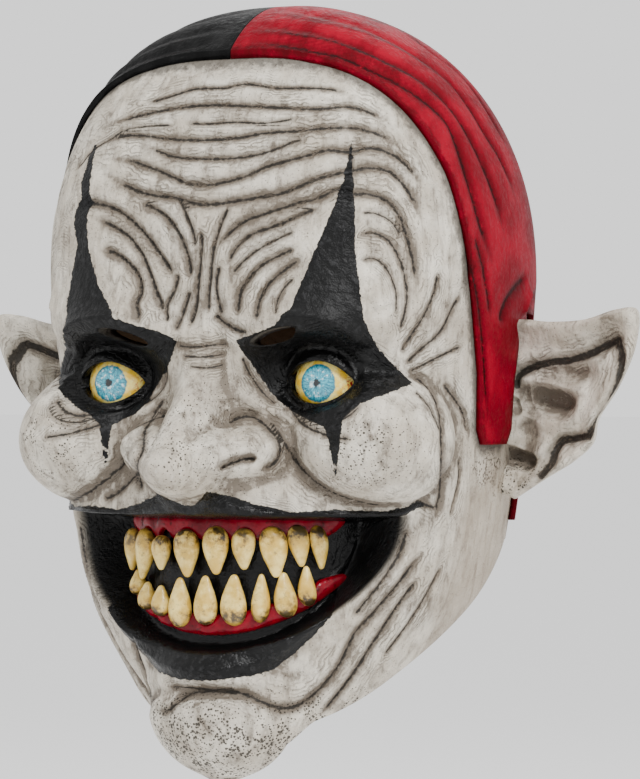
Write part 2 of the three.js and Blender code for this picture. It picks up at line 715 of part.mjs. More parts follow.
const PAINT = {
  skin: new THREE.MeshStandardMaterial({ color: 0xcfc9bd, roughness: 0.6, metalness: 0 }),
  red: new THREE.MeshStandardMaterial({ color: 0xb1101a, roughness: 0.6, metalness: 0 }),
  black: new THREE.MeshStandardMaterial({ color: 0x1b1c1e, roughness: 0.55, metalness: 0 }),
  eye: new THREE.MeshStandardMaterial({ color: 0x6fb6c9, roughness: 0.12, metalness: 0 }),
  gum: new THREE.MeshStandardMaterial({ color: 0xa8121c, roughness: 0.3, metalness: 0 }),
  tooth: new THREE.MeshStandardMaterial({ color: 0xe2d3a0, roughness: 0.25, metalness: 0 }),
};

const mask = new THREE.Group();

function addMesh(name, geometry, material) {
  const mesh = new THREE.Mesh(geometry, material);
  mesh.name = name;
  mask.add(mesh);
  return mesh;
}

const faceSkin = headSkin(FACE_GRID, headRadius, CROWN, CHIN_BOTTOM);
const face = toSolid(faceSkin);
const faceClearance = toSolid(grown(faceSkin, SEAM_GAP));
const hollow = toSolid(headSkin(HOLLOW_GRID, hollowRadius, CROWN - LATEX, CHIN_BOTTOM + LATEX));
const eyeBack = EYE_RADIUS * Math.cos(radians(EYE_HALF_ANGLE));

// The face's wall, with a seat behind each eye, open at the neck, the skull, the lids and the vision slits.
function faceShell() {
  let shell = face.subtract(hollow);
  for (const side of [-1, 1]) {
    const at = eyeCentre(side).toArray();
    const room = EYE_RADIUS + SEAM_GAP;
    const seat = toSolid(eyeFront(room + LATEX, eyeBack - SEAM_GAP - LATEX, 16, 5)).translate(at);
    const pocket = toSolid(eyeFront(room, eyeBack - SEAM_GAP, 18, 4)).translate(at);
    shell = shell.add(seat.intersect(face)).subtract(pocket);
    shell = shell.subtract(lidOpening(side)).subtract(visionSlit(side));
  }
  return mainBody(shell.subtract(skullOpening()).subtract(rimCutter()));
}

function capHalf(side) {
  const cloth = toSolid(grown(faceSkin, SEAM_GAP + CAP_LATEX)).subtract(faceClearance);
  const half = new THREE.BoxGeometry(FAR, 2 * FAR, 2 * FAR).translate(side * (FAR + SEAM_GAP) * HALF, 0, 0);
  return mainBody(cloth.intersect(capZone()).intersect(toSolid(half)));
}

addMesh("face_shell", toGeometry(faceShell()), PAINT.skin);
addMesh("cap_red", toGeometry(capHalf(1)), PAINT.red);
addMesh("cap_black", toGeometry(capHalf(-1)), PAINT.black);

// The room the cap takes up, with the gap kept around it.
function capRoom() {
  const zone = capZone();
  const moves = [[SEAM_GAP, 0], [-SEAM_GAP, 0], [0, SEAM_GAP], [0, -SEAM_GAP]];
  const wide = moves.reduce((all, [y, z]) => all.add(zone.translate([0, y, z])), zone);
  return wide.intersect(toSolid(grown(faceSkin, CAP_LATEX + 2 * SEAM_GAP)));
}

for (const [name, side] of [["left", 1], ["right", -1]]) {
  const ear = mainBody(toSolid(earBlock(side)).subtract(faceClearance).subtract(capRoom()));
  addMesh("ear_" + name, toGeometry(ear), PAINT.skin);
  const eye = addMesh("eye_" + name, eyeFront(EYE_RADIUS, eyeBack, 18, 4), PAINT.eye);
  eye.position.copy(eyeCentre(side));
}

// Each tooth, trimmed clear of the face, and the socket it needs in its gum.
function addTeeth(jaw, rows) {
  return rows.map((row) => {
    const tooth = addMesh(jaw + "_tooth_" + row.name, toothSolid(row), PAINT.tooth);
    placeTooth(tooth, row);
    tooth.updateMatrix();
    const socket = toSolid(grown(tooth.geometry, SEAM_GAP).applyMatrix4(tooth.matrix));
    const trimmed = toSolid(tooth.geometry.clone().applyMatrix4(tooth.matrix)).subtract(faceClearance);
    tooth.geometry = toGeometry(mainBody(trimmed)).applyMatrix4(tooth.matrix.clone().invert());
    return socket;
  });
}

for (const [jaw, gum, rows] of [
  ["upper", UPPER_GUM, UPPER_TEETH],
  ["lower", LOWER_GUM, LOWER_TEETH],
]) {
  const sockets = addTeeth(jaw, rows);
  const block = toSolid(gumBlock(gum)).subtract(faceClearance);
  const bar = sockets.reduce((left, socket) => left.subtract(socket), block);
  addMesh(jaw + "_gum", toGeometry(mainBody(bar)), PAINT.gum);
}

export default mask;
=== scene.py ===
"""A full-head jester mask of painted latex: skin, cap, ears, eyes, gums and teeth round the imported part."""
import math

import bmesh
import bpy
import numpy as np
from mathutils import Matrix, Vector


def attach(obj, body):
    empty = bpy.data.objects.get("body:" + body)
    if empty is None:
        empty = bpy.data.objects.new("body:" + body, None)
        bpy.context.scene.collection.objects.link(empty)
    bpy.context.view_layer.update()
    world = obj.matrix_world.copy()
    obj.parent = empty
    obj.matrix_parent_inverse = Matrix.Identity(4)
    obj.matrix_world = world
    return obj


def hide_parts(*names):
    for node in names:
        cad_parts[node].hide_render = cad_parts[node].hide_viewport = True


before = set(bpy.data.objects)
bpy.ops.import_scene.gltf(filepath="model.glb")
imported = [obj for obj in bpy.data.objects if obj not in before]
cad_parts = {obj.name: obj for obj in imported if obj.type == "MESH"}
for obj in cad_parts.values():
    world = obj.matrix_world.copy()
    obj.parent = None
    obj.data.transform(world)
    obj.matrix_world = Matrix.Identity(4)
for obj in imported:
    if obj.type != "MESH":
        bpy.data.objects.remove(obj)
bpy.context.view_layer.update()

MM = 0.001

# Head, in millimetres, as in the part
HEAD_HALF_WIDTH, FOREHEAD_FRONT, HEAD_BACK = 91.0, 80.0, 108.0
DOME_HEIGHT, FACE_DROP = 108.0, 197.0
LATEX, CAP_LATEX, SEAM_GAP = 2.6, 2.4, 0.3
CROWN = -SEAM_GAP
FOOT = CROWN - DOME_HEIGHT
CHIN_BOTTOM = FOOT - FACE_DROP
MASK_HEIGHT = DOME_HEIGHT + FACE_DROP
NAPE_DROP, RIM_BEND_BACK, CHIN_RIM_FRONT, CHIN_RIM_DROP = 213.0, 38.0, 60.0, 290.0
EYE_SPACING, EYE_DROP, EYE_CENTRE_FRONT, EYE_RADIUS = 92.0, 150.0, 55.0, 15.0
EYE_HALF_ANGLE, LID_WALL = 62.0, 3.4
LID_OPENING = (29.0, 16.4)
MOUTH_DROP = 197.0
LIP_HEIGHT, LIP_LIFT = 68.0, 3.5
LIP_INNER = dict(half_width=57.0, height=50.0, curve=2.3, below=5.5)
ARCH_HALF, ARCH_FRONT, ARCH_CURVE = 58.0, 69.0, 2.2
TOOTH_WIDTH, TOOTH_DEPTH = 10.0, 7.4
EAR_ROOT, EAR_SPAN, EAR_LOBE_DROP, EAR_HEIGHT, EAR_BACK = 80.0, 66.0, 196.0, 75.0, 22.0
EAR_WALL, EAR_LEAN = 5.0, -12.0
BACK_CORNER, DOME_FRONT, DOME_BACK, MISS = 2.15, 2.25, 2.2, 3.0
FADE_ABOVE, FADE_OVER, LEVEL_BAND = 0.25, 0.2, 16.0
# Past every edge of the mask, and the distance kept by what lies beyond a guide's reach
FAR, BEYOND = 400.0, 30.0
GRID_COLUMNS, DOME_ROWS, FACE_ROWS, CROWDING = 380, 130, 190, 0.42
CAP_COLUMNS, CAP_DOME_ROWS = 440, 110
SLIT = dict(across=33.0, drop=132.0, width=22.0, height=5.0, slant=14.0)
GUMS = {
    "upper": dict(drop=201.0, height=7.5, rise=0.0, over=2.5),
    "lower": dict(drop=240.5, height=7.5, rise=22.0, over=1.0),
}
GUM_HALF_ANGLE, GUM_THICK, GUM_SCALLOP, GUM_TAPER = 46.0, 3.6, 3.6, 0.22

# down, side, front, back, corner
SECTIONS = np.array([
    (0.0, 1.0, 1.0, 1.0, 3.3),
    (0.21, 0.965, 0.95, 0.98, 3.2),
    (0.33, 0.95, 0.92, 0.94, 3.2),
    (0.47, 0.925, 0.97, 0.88, 2.8),
    (0.58, 0.885, 0.97, 0.84, 2.65),
    (0.67, 0.825, 0.94, 0.8, 2.6),
    (0.78, 0.69, 0.88, 0.72, 2.5),
    (0.88, 0.54, 0.8, 0.6, 2.3),
    (0.96, 0.28, 0.6, 0.4, 2.1),
    (1.0, 0.02, 0.05, 0.05, 2.0),
])

# name: across, ahead, down, wide, deep, tall, tilt, soft
SWELLINGS = {
    "brow": (0.42, 0.69, 0.085, 0.4, 0.35, 0.08, 6, 0.081),
    "cheek": (0.68, 0.66, 0.32, 0.34, 0.38, 0.13, -8, 0.07),
    "muzzle": (0, 0.79, 0.425, 0.45, 0.28, 0.07, 0, 0.041),
    "chin": (0, 0.67, 0.85, 0.365, 0.375, 0.15, 0, 0.046),
}
HOLLOWS = {
    "socket": (0.49, 1.12, 0.195, 0.35, 0.36, 0.082, 5, 0.036),
}
# The nose's ridge: down, ahead, half
NOSE = np.array([
    (0.059, 0.92, 0.12), (0.1, 0.945, 0.135), (0.1406, 0.985, 0.145), (0.191, 1.045, 0.155),
    (0.242, 1.13, 0.165), (0.293, 1.235, 0.175), (0.335, 1.335, 0.185), (0.37, 1.4, 0.19),
    (0.4, 1.385, 0.185), (0.425, 1.28, 0.17), (0.447, 1.1, 0.145), (0.477, 0.96, 0.13), (0.54, 0.8, 0.12),
])
NOSE_FLARE, NOSE_SOFT = 1.2, 0.046
# Low rounded mounds, or dips: across, down, wide, tall, rise, power
MOUNDS = {
    "nose_ball": (0, 0.368, 0.16, 0.065, 0.0375, 1.5),
    "nostril_wing": (0.25, 0.34, 0.17, 0.066, 0.17, 1.2),
    "chin_groove": (0, 0.822, 0.42, 0.03, -0.05, 1.5),
}
LIDS = {
    "lid": (
        EYE_SPACING / 2 / HEAD_HALF_WIDTH, EYE_CENTRE_FRONT / FOREHEAD_FRONT, (FOOT + EYE_DROP) / FACE_DROP,
        (EYE_RADIUS + LID_WALL) / HEAD_HALF_WIDTH, (EYE_RADIUS + LID_WALL) / FOREHEAD_FRONT,
        (EYE_RADIUS + LID_WALL) / FACE_DROP, 0, 0.015,
    )
}

# Side views: back as a share of HEAD_BACK, down of MASK_HEIGHT
CAP_EDGE = [
    (-0.5, 0.083), (-0.42, 0.145), (-0.325, 0.226), (-0.24, 0.357), (-0.13, 0.479), (-0.111, 0.551),
    (-0.074, 0.57), (0.12, 0.57), (0.167, 0.551), (0.176, 0.485), (0.208, 0.43), (0.306, 0.395),
    (0.437, 0.4), (0.481, 0.475), (0.437, 0.574), (0.361, 0.672),
]
SKULL_OPENING = [
    (-0.317, 0.08), (-0.24, 0.165), (-0.197, 0.26), (-0.109, 0.34), (0.579, 0.34), (0.601, 0.632),
]

# The camera that fits the photograph
VIEW_TURN, VIEW_DISTANCE, VIEW_TARGET = math.radians(27), 1500.0, np.array([12.0, 0.0, -152.4])
LENS, SENSOR = 171.6, 36.0
PHOTO_WIDE, PHOTO_HIGH = 640, 779
FOCAL_PX = LENS / SENSOR * PHOTO_HIGH
RIGHT = np.array([math.cos(VIEW_TURN), math.sin(VIEW_TURN), 0.0])
BACKWARD = np.array([math.sin(VIEW_TURN), -math.cos(VIEW_TURN), 0.0])
UP = np.array([0.0, 0.0, 1.0])
PX_PER_MM = FOCAL_PX / VIEW_DISTANCE

# Folds, as pixel points of the photograph. Each has a depth and a reach in millimetres, and how it
# is repeated on the other side: "one" not at all, "far" where the photograph doesn't see, "both" always.
FOLDS = {
    "forehead_1": (1.7, 4.6, "far", [(82, 151), (94, 146), (106, 141), (122, 136), (143, 136), (167, 139),
        (204, 140), (235, 138), (265, 133), (296, 131), (330, 128), (360, 129), (390, 139), (414, 160)]),
    "forehead_2": (1.6, 4.2, "far", [(98, 131), (122, 120), (153, 112), (184, 107), (214, 105), (245, 106),
        (286, 108), (320, 109), (352, 107), (380, 117), (402, 133)]),
    "forehead_3": (1.3, 3.6, "far", [(127, 104), (153, 101), (173, 95), (194, 89), (224, 88), (245, 84),
        (276, 88), (306, 88), (335, 90), (360, 99)]),
    "forehead_4": (1.1, 3.4, "far", [(178, 122), (204, 124), (235, 122), (265, 123), (306, 117)]),
    "forehead_5": (1.5, 4.4, "far", [(135, 143), (153, 150), (173, 157), (204, 159), (235, 158), (255, 155),
        (276, 149), (296, 141), (320, 136)]),
    "forehead_6": (1.9, 5.0, "far", [(92, 159), (122, 160), (143, 166), (163, 174), (184, 183), (204, 185),
        (224, 182), (245, 176), (265, 167), (286, 161), (306, 156), (330, 150), (350, 152), (375, 148),
        (400, 158), (418, 178), (432, 205)]),
    "forehead_7": (2.2, 5.4, "far", [(86, 175), (102, 174), (114, 180), (127, 188), (143, 194), (163, 197),
        (173, 198), (194, 204), (214, 204), (235, 201), (265, 196), (286, 192), (320, 178), (352, 171),
        (372, 168), (392, 172), (408, 188), (420, 212), (428, 240)]),
    "forehead_10": (0.8, 2.8, "far", [(72, 176), (82, 162), (92, 150), (108, 140), (124, 130), (150, 126),
        (180, 125)]),
    "brow_left_1": (2.2, 5.0, "one", [(72, 208), (84, 204), (95, 204), (113, 210), (133, 225), (148, 242),
        (157, 254), (169, 272), (173, 284)]),
    "brow_left_2": (2.0, 4.6, "one", [(133, 201), (148, 207), (163, 216), (175, 231), (183, 248),
        (188, 266), (189, 284)]),
    "brow_left_3": (1.6, 3.6, "one", [(173, 196), (181, 207), (186, 219), (192, 234), (194, 250)]),
    "brow_left_4": (1.9, 4.6, "one", [(89, 216), (107, 225), (125, 236), (139, 254), (148, 275), (154, 292),
        (160, 307), (163, 322)]),
    "brow_left_5": (2.2, 5.0, "one", [(95, 248), (113, 254), (128, 266), (136, 278), (138, 292), (133, 304),
        (136, 316), (140, 328)]),
    "brow_left_6": (1.5, 3.4, "one", [(178, 270), (173, 290), (165, 306), (167, 326)]),
    "brow_left_7": (1.5, 3.4, "one", [(190, 288), (184, 306), (178, 322), (172, 333)]),
    "frown_1": (1.9, 3.8, "one", [(198, 222), (200, 242), (198, 266), (196, 289), (194, 310), (186, 332)]),
    "frown_2": (1.7, 3.8, "one", [(233, 198), (226, 210), (219, 226), (214, 242), (211, 256), (209, 280),
        (207, 300), (209, 320)]),
    "brow_right_1": (2.4, 5.2, "one", [(213, 266), (216, 248), (225, 236), (242, 222), (266, 213),
        (295, 204), (319, 198), (339, 189), (350, 194), (370, 194), (388, 200), (400, 213), (408, 232),
        (414, 255), (418, 280), (416, 305)]),
    "brow_right_2": (1.9, 4.4, "one", [(225, 270), (233, 251), (248, 236), (266, 229), (283, 223),
        (304, 213), (325, 207)]),
    "brow_right_3": (1.7, 4.0, "one", [(222, 318), (217, 301), (215, 283), (219, 262)]),
    "brow_right_4": (2.1, 4.8, "one", [(236, 322), (238, 301), (241, 289), (252, 274), (266, 262),
        (282, 254), (301, 246)]),
    "brow_right_5": (2.1, 4.8, "one", [(257, 325), (257, 307), (263, 292), (272, 280), (286, 269),
        (304, 256)]),
    "brow_right_6": (1.3, 3.4, "one", [(228, 278), (242, 262), (260, 248), (278, 239), (300, 228)]),
    "brow_right_7": (1.8, 3.6, "one", [(212, 312), (222, 322), (236, 330), (250, 334)]),
    "brow_right_8": (0.9, 3.0, "one", [(276, 318), (277, 302), (284, 288), (296, 276)]),
    "brow_side_1": (1.3, 4.0, "far", [(352, 241), (362, 235), (374, 233), (390, 241), (401, 260),
        (407, 282), (408, 300), (404, 320), (397, 340)]),
    "brow_side_2": (0.8, 2.8, "far", [(356, 262), (372, 258), (385, 266), (394, 284), (397, 304),
        (394, 322)]),
    "brow_side_5": (0.8, 2.8, "far", [(358, 214), (374, 213), (392, 222), (404, 242)]),
    "bridge_1": (1.2, 3.2, "one", [(172, 345), (187, 347), (204, 346), (231, 343)]),
    "bridge_2": (1.0, 3.0, "one", [(178, 356), (204, 357), (229, 353)]),
    "bridge_3": (0.8, 3.0, "one", [(186, 366), (206, 368), (226, 364)]),
    "nose_side": (1.0, 4.0, "both", [(240, 352), (248, 372), (262, 392), (280, 408)]),
    "wing": (2.4, 5.0, "both", [(220, 430), (235, 419), (251, 417), (265, 426), (276, 438), (280, 450),
        (273, 464), (255, 472)]),
    "nostril": (4.2, 3.8, "both", [(214, 470), (228, 464), (244, 459), (258, 460)]),
    "nasolabial": (2.4, 7.0, "both", [(261, 409), (276, 430), (290, 452), (304, 470), (320, 484),
        (345, 497), (380, 505), (408, 503)]),
    "under_eye": (1.3, 4.6, "both", [(284, 400), (303, 424), (330, 436), (356, 440)]),
    "nose_edge": (1.6, 5.0, "one", [(169, 393), (153, 411), (143, 432), (141, 450), (135, 466), (139, 485),
        (147, 497)]),
    "cheek_left": (1.8, 6.0, "one", [(139, 464), (131, 477), (114, 493), (98, 501)]),
    "temple_1": (1.3, 4.0, "far", [(440, 266), (436, 291), (426, 315), (412, 336), (398, 358)]),
    "temple_2": (1.4, 4.2, "far", [(463, 291), (453, 311), (442, 332), (422, 350), (402, 368)]),
    "temple_3": (1.0, 3.6, "far", [(466, 345), (450, 352), (430, 362), (406, 374)]),
    "crow_1": (1.2, 3.6, "both", [(360, 345), (372, 356), (385, 368), (398, 377)]),
    "crow_2": (1.0, 3.2, "both", [(352, 362), (368, 372), (384, 379), (402, 384)]),
    "crow_3": (1.1, 3.4, "both", [(356, 392), (362, 386), (372, 384), (388, 387)]),
    "cheek_fold": (2.2, 7.0, "both", [(402, 372), (422, 381), (434, 393), (442, 413), (444, 444),
        (444, 474), (442, 500), (434, 528)]),
    "cheek_fold_2": (1.2, 4.2, "both", [(412, 389), (426, 401), (436, 419), (442, 434)]),
    "cheek_fold_3": (1.4, 4.6, "both", [(442, 381), (455, 397), (465, 413), (469, 434)]),
    "ear_front": (1.2, 4.0, "both", [(459, 454), (461, 474), (457, 495), (450, 520)]),
    "jaw_1": (2.4, 6.4, "both", [(433, 543), (419, 560), (399, 587), (373, 616), (356, 635), (341, 665),
        (322, 688), (302, 704), (282, 709), (262, 703), (240, 695)]),
    "chin_fold": (2.4, 5.4, "one", [(300, 706), (282, 709), (262, 703), (240, 694), (215, 692), (192, 693),
        (176, 702), (163, 712), (150, 708)]),
    "jaw_2": (1.8, 5.0, "both", [(409, 521), (404, 548), (387, 577), (368, 601), (350, 622)]),
    "jaw_3": (1.9, 5.4, "far", [(426, 570), (397, 610), (377, 640), (356, 672), (334, 700), (314, 722)]),
    "jaw_4": (1.3, 4.4, "far", [(446, 560), (425, 600), (402, 634), (380, 662)]),
    "jaw_left_1": (1.5, 4.6, "one", [(101, 550), (116, 589), (133, 645), (145, 679), (152, 713)]),
    "under_lip_1": (1.2, 3.4, "one", [(165, 686), (190, 688), (215, 690), (240, 688)]),
    "lip_corner": (1.4, 3.6, "both", [(416, 500), (428, 505), (440, 510)]),
    "lid_top": (1.8, 3.8, "both", [(284, 378), (298, 350), (318, 341), (337, 345), (353, 358), (380, 372),
        (402, 380)]),
    "lid_top_2": (1.2, 3.4, "both", [(288, 360), (300, 343), (320, 334), (341, 338), (360, 350),
        (384, 366)]),
    "lid_low": (1.6, 3.8, "both", [(284, 392), (300, 409), (322, 417), (344, 409), (360, 395)]),
    "lid_low_2": (0.9, 3.0, "both", [(290, 408), (306, 418), (324, 424), (346, 418), (366, 401)]),
    "lip_inner": (1.5, 4.6, "both", [(390, 515), (370, 550), (350, 580), (328, 604), (300, 628)]),
    "lip_top": (0.8, 3.0, "both", [(212, 502), (230, 504), (252, 508), (280, 513), (300, 516)]),
    "lip_top_2": (0.7, 2.6, "both", [(212, 508), (228, 510), (246, 513), (262, 516)]),
}
FOLD_DEPTH = 1.45
# Raised strokes, in the same form
RIDGES = {
    "lid_rim_top": (0.9, 2.6, "both", [(290, 379), (302, 362), (320, 354), (338, 360), (354, 380)]),
    "lid_rim_low": (1.1, 3.4, "both", [(291, 386), (303, 402), (322, 408), (342, 402), (354, 386)]),
    "brow_edge": (1.8, 7.0, "both", [(246, 330), (268, 318), (300, 316), (330, 322), (352, 336),
        (372, 352)]),
    "lip_rim": (1.0, 3.2, "both", [(366, 524), (354, 543), (346, 560), (330, 584), (316, 603), (290, 636),
        (255, 646), (215, 650)]),
    "wing_bulge": (1.6, 8.0, "both", [(236, 440), (252, 436), (264, 446)]),
    "cheek_apple": (1.5, 12.0, "both", [(330, 452), (360, 440), (395, 440)]),
    "brow_bulge": (2.0, 12.0, "far", [(362, 300), (376, 290), (384, 310)]),
}

# Paint edges, as pixel points of the photograph
EYE_PAINT = [
    (352, 143), (345, 180), (333, 210), (320, 240), (305, 275), (290, 310), (283, 314), (276, 325),
    (258, 333), (237, 341), (242, 350), (250, 360), (262, 378), (272, 393), (285, 405), (300, 415),
    (312, 421), (323, 425), (327, 432), (330, 446), (333, 460), (336, 476), (337, 455), (339, 438),
    (342, 420), (350, 411), (362, 402), (375, 397), (388, 393), (402, 387), (412, 384), (405, 377),
    (398, 370), (388, 360), (377, 348), (370, 335), (363, 320), (359, 291), (354, 250), (354, 200),
]
EYE_PAINT_RIGHT = [
    (95, 145), (93, 157), (91, 169), (90, 178), (89, 187), (89, 201), (87, 213), (86, 228), (87, 242),
    (91, 263), (98, 286), (107, 304), (116, 318), (136, 326), (163, 334), (176, 341), (171, 358),
    (160, 380), (148, 400), (135, 413), (120, 420), (111, 424), (108, 440), (106, 468), (103, 450),
    (101, 432), (95, 420), (82, 410), (68, 400), (58, 388), (60, 372), (65, 354), (69, 342), (68, 319),
    (67, 301), (71, 289), (73, 272), (78, 248), (75, 225), (77, 207), (82, 197), (81, 183), (87, 169),
    (89, 154),
]
LIP_PAINT = [
    (192, 506), (198, 503), (203, 496), (208, 492), (225, 495), (240, 500), (260, 506), (295, 513),
    (330, 510), (385, 512), (406, 507), (417, 501), (428, 505), (412, 510), (404, 518), (392, 532),
    (380, 552), (369, 569), (355, 586), (344, 601), (330, 617), (312, 637), (295, 652), (275, 668),
    (255, 675), (215, 680), (180, 680), (180, 506),
]


def smooth(x, low, high):
    t = np.clip((x - low) / (high - low), 0, 1)
    return t * t * (3 - 2 * t)


def lerp(a, b, t):
    return a + (b - a) * t


def soft_max(a, b, soft):
    near = np.maximum(soft - np.abs(a - b), 0)
    return np.maximum(a, b) + near * near / (4 * soft)


def between(rows, at):
    """A table's columns at places between its rows, on a smooth curve."""
    key = rows[:, 0]
    last = len(key) - 1
    i = np.clip(np.searchsorted(key, at, side="left") - 1, 0, last - 1)
    a, b = rows[i], rows[i + 1]
    before, after = rows[np.maximum(i - 1, 0)], rows[np.minimum(i + 2, last)]
    t = np.clip((at - a[:, 0]) / (b[:, 0] - a[:, 0]), 0, 1)[:, None]
    span = (b - a)[:, :1]
    enter = span * (b - before) / (b - before)[:, :1]
    leave = span * (after - a) / (after - a)[:, :1]
    return (a * (2 * t**3 - 3 * t * t + 1) + enter * (t**3 - 2 * t * t + t)
            + b * (3 * t * t - 2 * t**3) + leave * (t**3 - t * t))


def section(z):
    """The plain head's half width, front, back and front corner at each level."""
    row = between(SECTIONS, np.clip((FOOT - z) / FACE_DROP, 0, 1))
    return row[:, 1] * HEAD_HALF_WIDTH, row[:, 2] * FOREHEAD_FRONT, row[:, 3] * HEAD_BACK, row[:, 4]


def plain_radius(angle, z):
    side, front, back, corner = section(z)
    across, ahead = np.abs(np.sin(angle)), np.cos(angle)
    reach = np.maximum(np.where(ahead > 0, front, back), 0.01)
    power = lerp(BACK_CORNER, corner, smooth(ahead, -0.3, 0.6))
    total = (across / np.maximum(side, 0.01)) ** power + (np.abs(ahead) / reach) ** power
    fullness = lerp(DOME_BACK, DOME_FRONT, smooth(ahead, -0.3, 0.5))
    rise = np.clip((z - FOOT) / DOME_HEIGHT, 0, 1)
    return total ** (-1 / power) * (1 - rise**fullness) ** (1 / fullness)


def crossing(form, side, angle, z):
    """Where the level ray at an angle enters and leaves an ellipsoid."""
    across, ahead, down, wide, deep, tall, tilt, _ = form
    lean = math.radians(tilt) * side
    size = (wide * HEAD_HALF_WIDTH, deep * FOREHEAD_FRONT, tall * FACE_DROP)

    def turned(x, y, up):
        return ((x * math.cos(lean) + up * math.sin(lean)) / size[0], y / size[1],
                (up * math.cos(lean) - x * math.sin(lean)) / size[2])

    start = turned(-side * across * HEAD_HALF_WIDTH, ahead * FOREHEAD_FRONT, z - (FOOT - down * FACE_DROP))
    ray = turned(np.sin(angle), -np.cos(angle), 0.0)
    a = sum(r * r for r in ray)
    middle = -sum(p * r for p, r in zip(start, ray)) / a
    room = middle * middle - (sum(p * p for p in start) - 1) / a
    half = np.where(room > 0, np.sqrt(np.maximum(room, 0)), -MISS * np.sqrt(np.maximum(-room, 0)))
    return middle - half, middle + half


def blended(radius, forms, angle, z, hollow=False):
    for form in forms.values():
        soft = form[7] * FACE_DROP
        for side in (1, -1) if form[0] else (1,):
            enter, leave = crossing(form, side, angle, z)
            if hollow:
                radius = np.where(enter > 0, -soft_max(-radius, -enter, soft), radius)
            else:
                radius = soft_max(radius, leave, soft)
    return radius


def with_nose(radius, angle, z):
    """The nose, as a ridge with a parabola for its section, and the mounds and dips."""
    row = between(NOSE, (FOOT - z) / FACE_DROP)
    ahead, steep = row[:, 1] * FOREHEAD_FRONT, NOSE_FLARE / (row[:, 2] * HEAD_HALF_WIDTH)
    across, facing = np.sin(angle), np.maximum(np.cos(angle), 0.05)
    ridge = 2 * ahead / (facing + np.sqrt(facing**2 + 4 * steep * across**2 * ahead))
    radius = soft_max(radius, ridge, NOSE_SOFT * FACE_DROP)
    for across, down, wide, tall, rise, power in MOUNDS.values():
        for side in (1, -1) if across else (1,):
            x = (radius * np.sin(angle) - side * across * HEAD_HALF_WIDTH) / (wide * HEAD_HALF_WIDTH)
            up = ((FOOT - z) / FACE_DROP - down) / tall
            near = np.maximum(1 - x * x - up * up, 0) * (np.cos(angle) > 0)
            radius = radius + rise * FOREHEAD_FRONT * near**power
    return radius


def arch_radius(angle, out=0.0):
    ahead = np.maximum(np.cos(angle), 0)
    across = np.abs(np.sin(angle))
    total = (across / (ARCH_HALF + out)) ** ARCH_CURVE + (ahead / (ARCH_FRONT + out)) ** ARCH_CURVE
    return total ** (-1 / ARCH_CURVE)


def place(radius, angle, z):
    return np.stack([radius * np.sin(angle), -radius * np.cos(angle), z + 0 * radius], axis=-1)


def to_px(points):
    v = points - VIEW_TARGET
    depth = VIEW_DISTANCE - v @ BACKWARD
    return np.stack([PHOTO_WIDE / 2 + FOCAL_PX * (v @ RIGHT) / depth,
                     PHOTO_HIGH / 2 - FOCAL_PX * v[..., 2] / depth], axis=-1)


def resampled(points, step):
    """A smooth line through points, as points about a step apart."""
    p = np.asarray(points, float)
    p = np.vstack([2 * p[0] - p[1], p, 2 * p[-1] - p[-2]])
    fine = []
    for i in range(1, len(p) - 2):
        t = np.linspace(0, 1, 12, endpoint=False)[:, None]
        a, b, c, d = p[i - 1:i + 3]
        bend, twist = 2 * a - 5 * b + 4 * c - d, 3 * b - a - 3 * c + d
        fine.append(0.5 * (2 * b + (c - a) * t + bend * t**2 + twist * t**3))
    fine = np.vstack([*fine, p[-2:-1]])
    run = np.concatenate([[0], np.cumsum(np.linalg.norm(np.diff(fine, axis=0), axis=1))])
    at = np.linspace(0, run[-1], max(int(run[-1] / step), 2) + 1)
    return np.stack([np.interp(at, run, fine[:, k]) for k in range(p.shape[1])], axis=1)


def line_distance(points, line):
    """Distance from each point to a line, the share of its length where it is nearest, and the side."""
    best = np.full(len(points), 1e9)
    where = np.zeros(len(points))
    sign = np.ones(len(points))
    out = points * (np.array([1, 1, 0.0]) if points.shape[1] == 3 else 1)
    for k in range(len(line) - 1):
        a, ab = line[k], line[k + 1] - line[k]
        t = np.clip((points - a) @ ab / max(ab @ ab, 1e-9), 0, 1)
        offset = points - a - t[:, None] * ab
        d = np.linalg.norm(offset, axis=1)
        nearer = d < best
        best[nearer] = d[nearer]
        where[nearer] = (k + t[nearer]) / (len(line) - 1)
        if points.shape[1] == 3:
            sign[nearer] = np.where((np.cross(ab, offset) * out).sum(1) < 0, -1, 1)[nearer]
    return best, where, sign


def inside_distance(points, outline):
    """Distance to a closed outline, above nought inside it."""
    ring = np.asarray(outline, float)
    best = np.full(len(points), 1e9)
    odd = np.zeros(len(points), bool)
    for a, b in zip(ring, np.roll(ring, -1, axis=0)):
        ab = b - a
        t = np.clip((points - a) @ ab / max(ab @ ab, 1e-9), 0, 1)
        best = np.minimum(best, np.linalg.norm(points - a - t[:, None] * ab, axis=1))
        crosses = (a[1] > points[:, 1]) != (b[1] > points[:, 1])
        level = np.where(b[1] == a[1], 1e-9, b[1] - a[1])
        odd ^= crosses & (points[:, 0] < (b[0] - a[0]) * (points[:, 1] - a[1]) / level + a[0])
    return np.where(odd, best, -best)


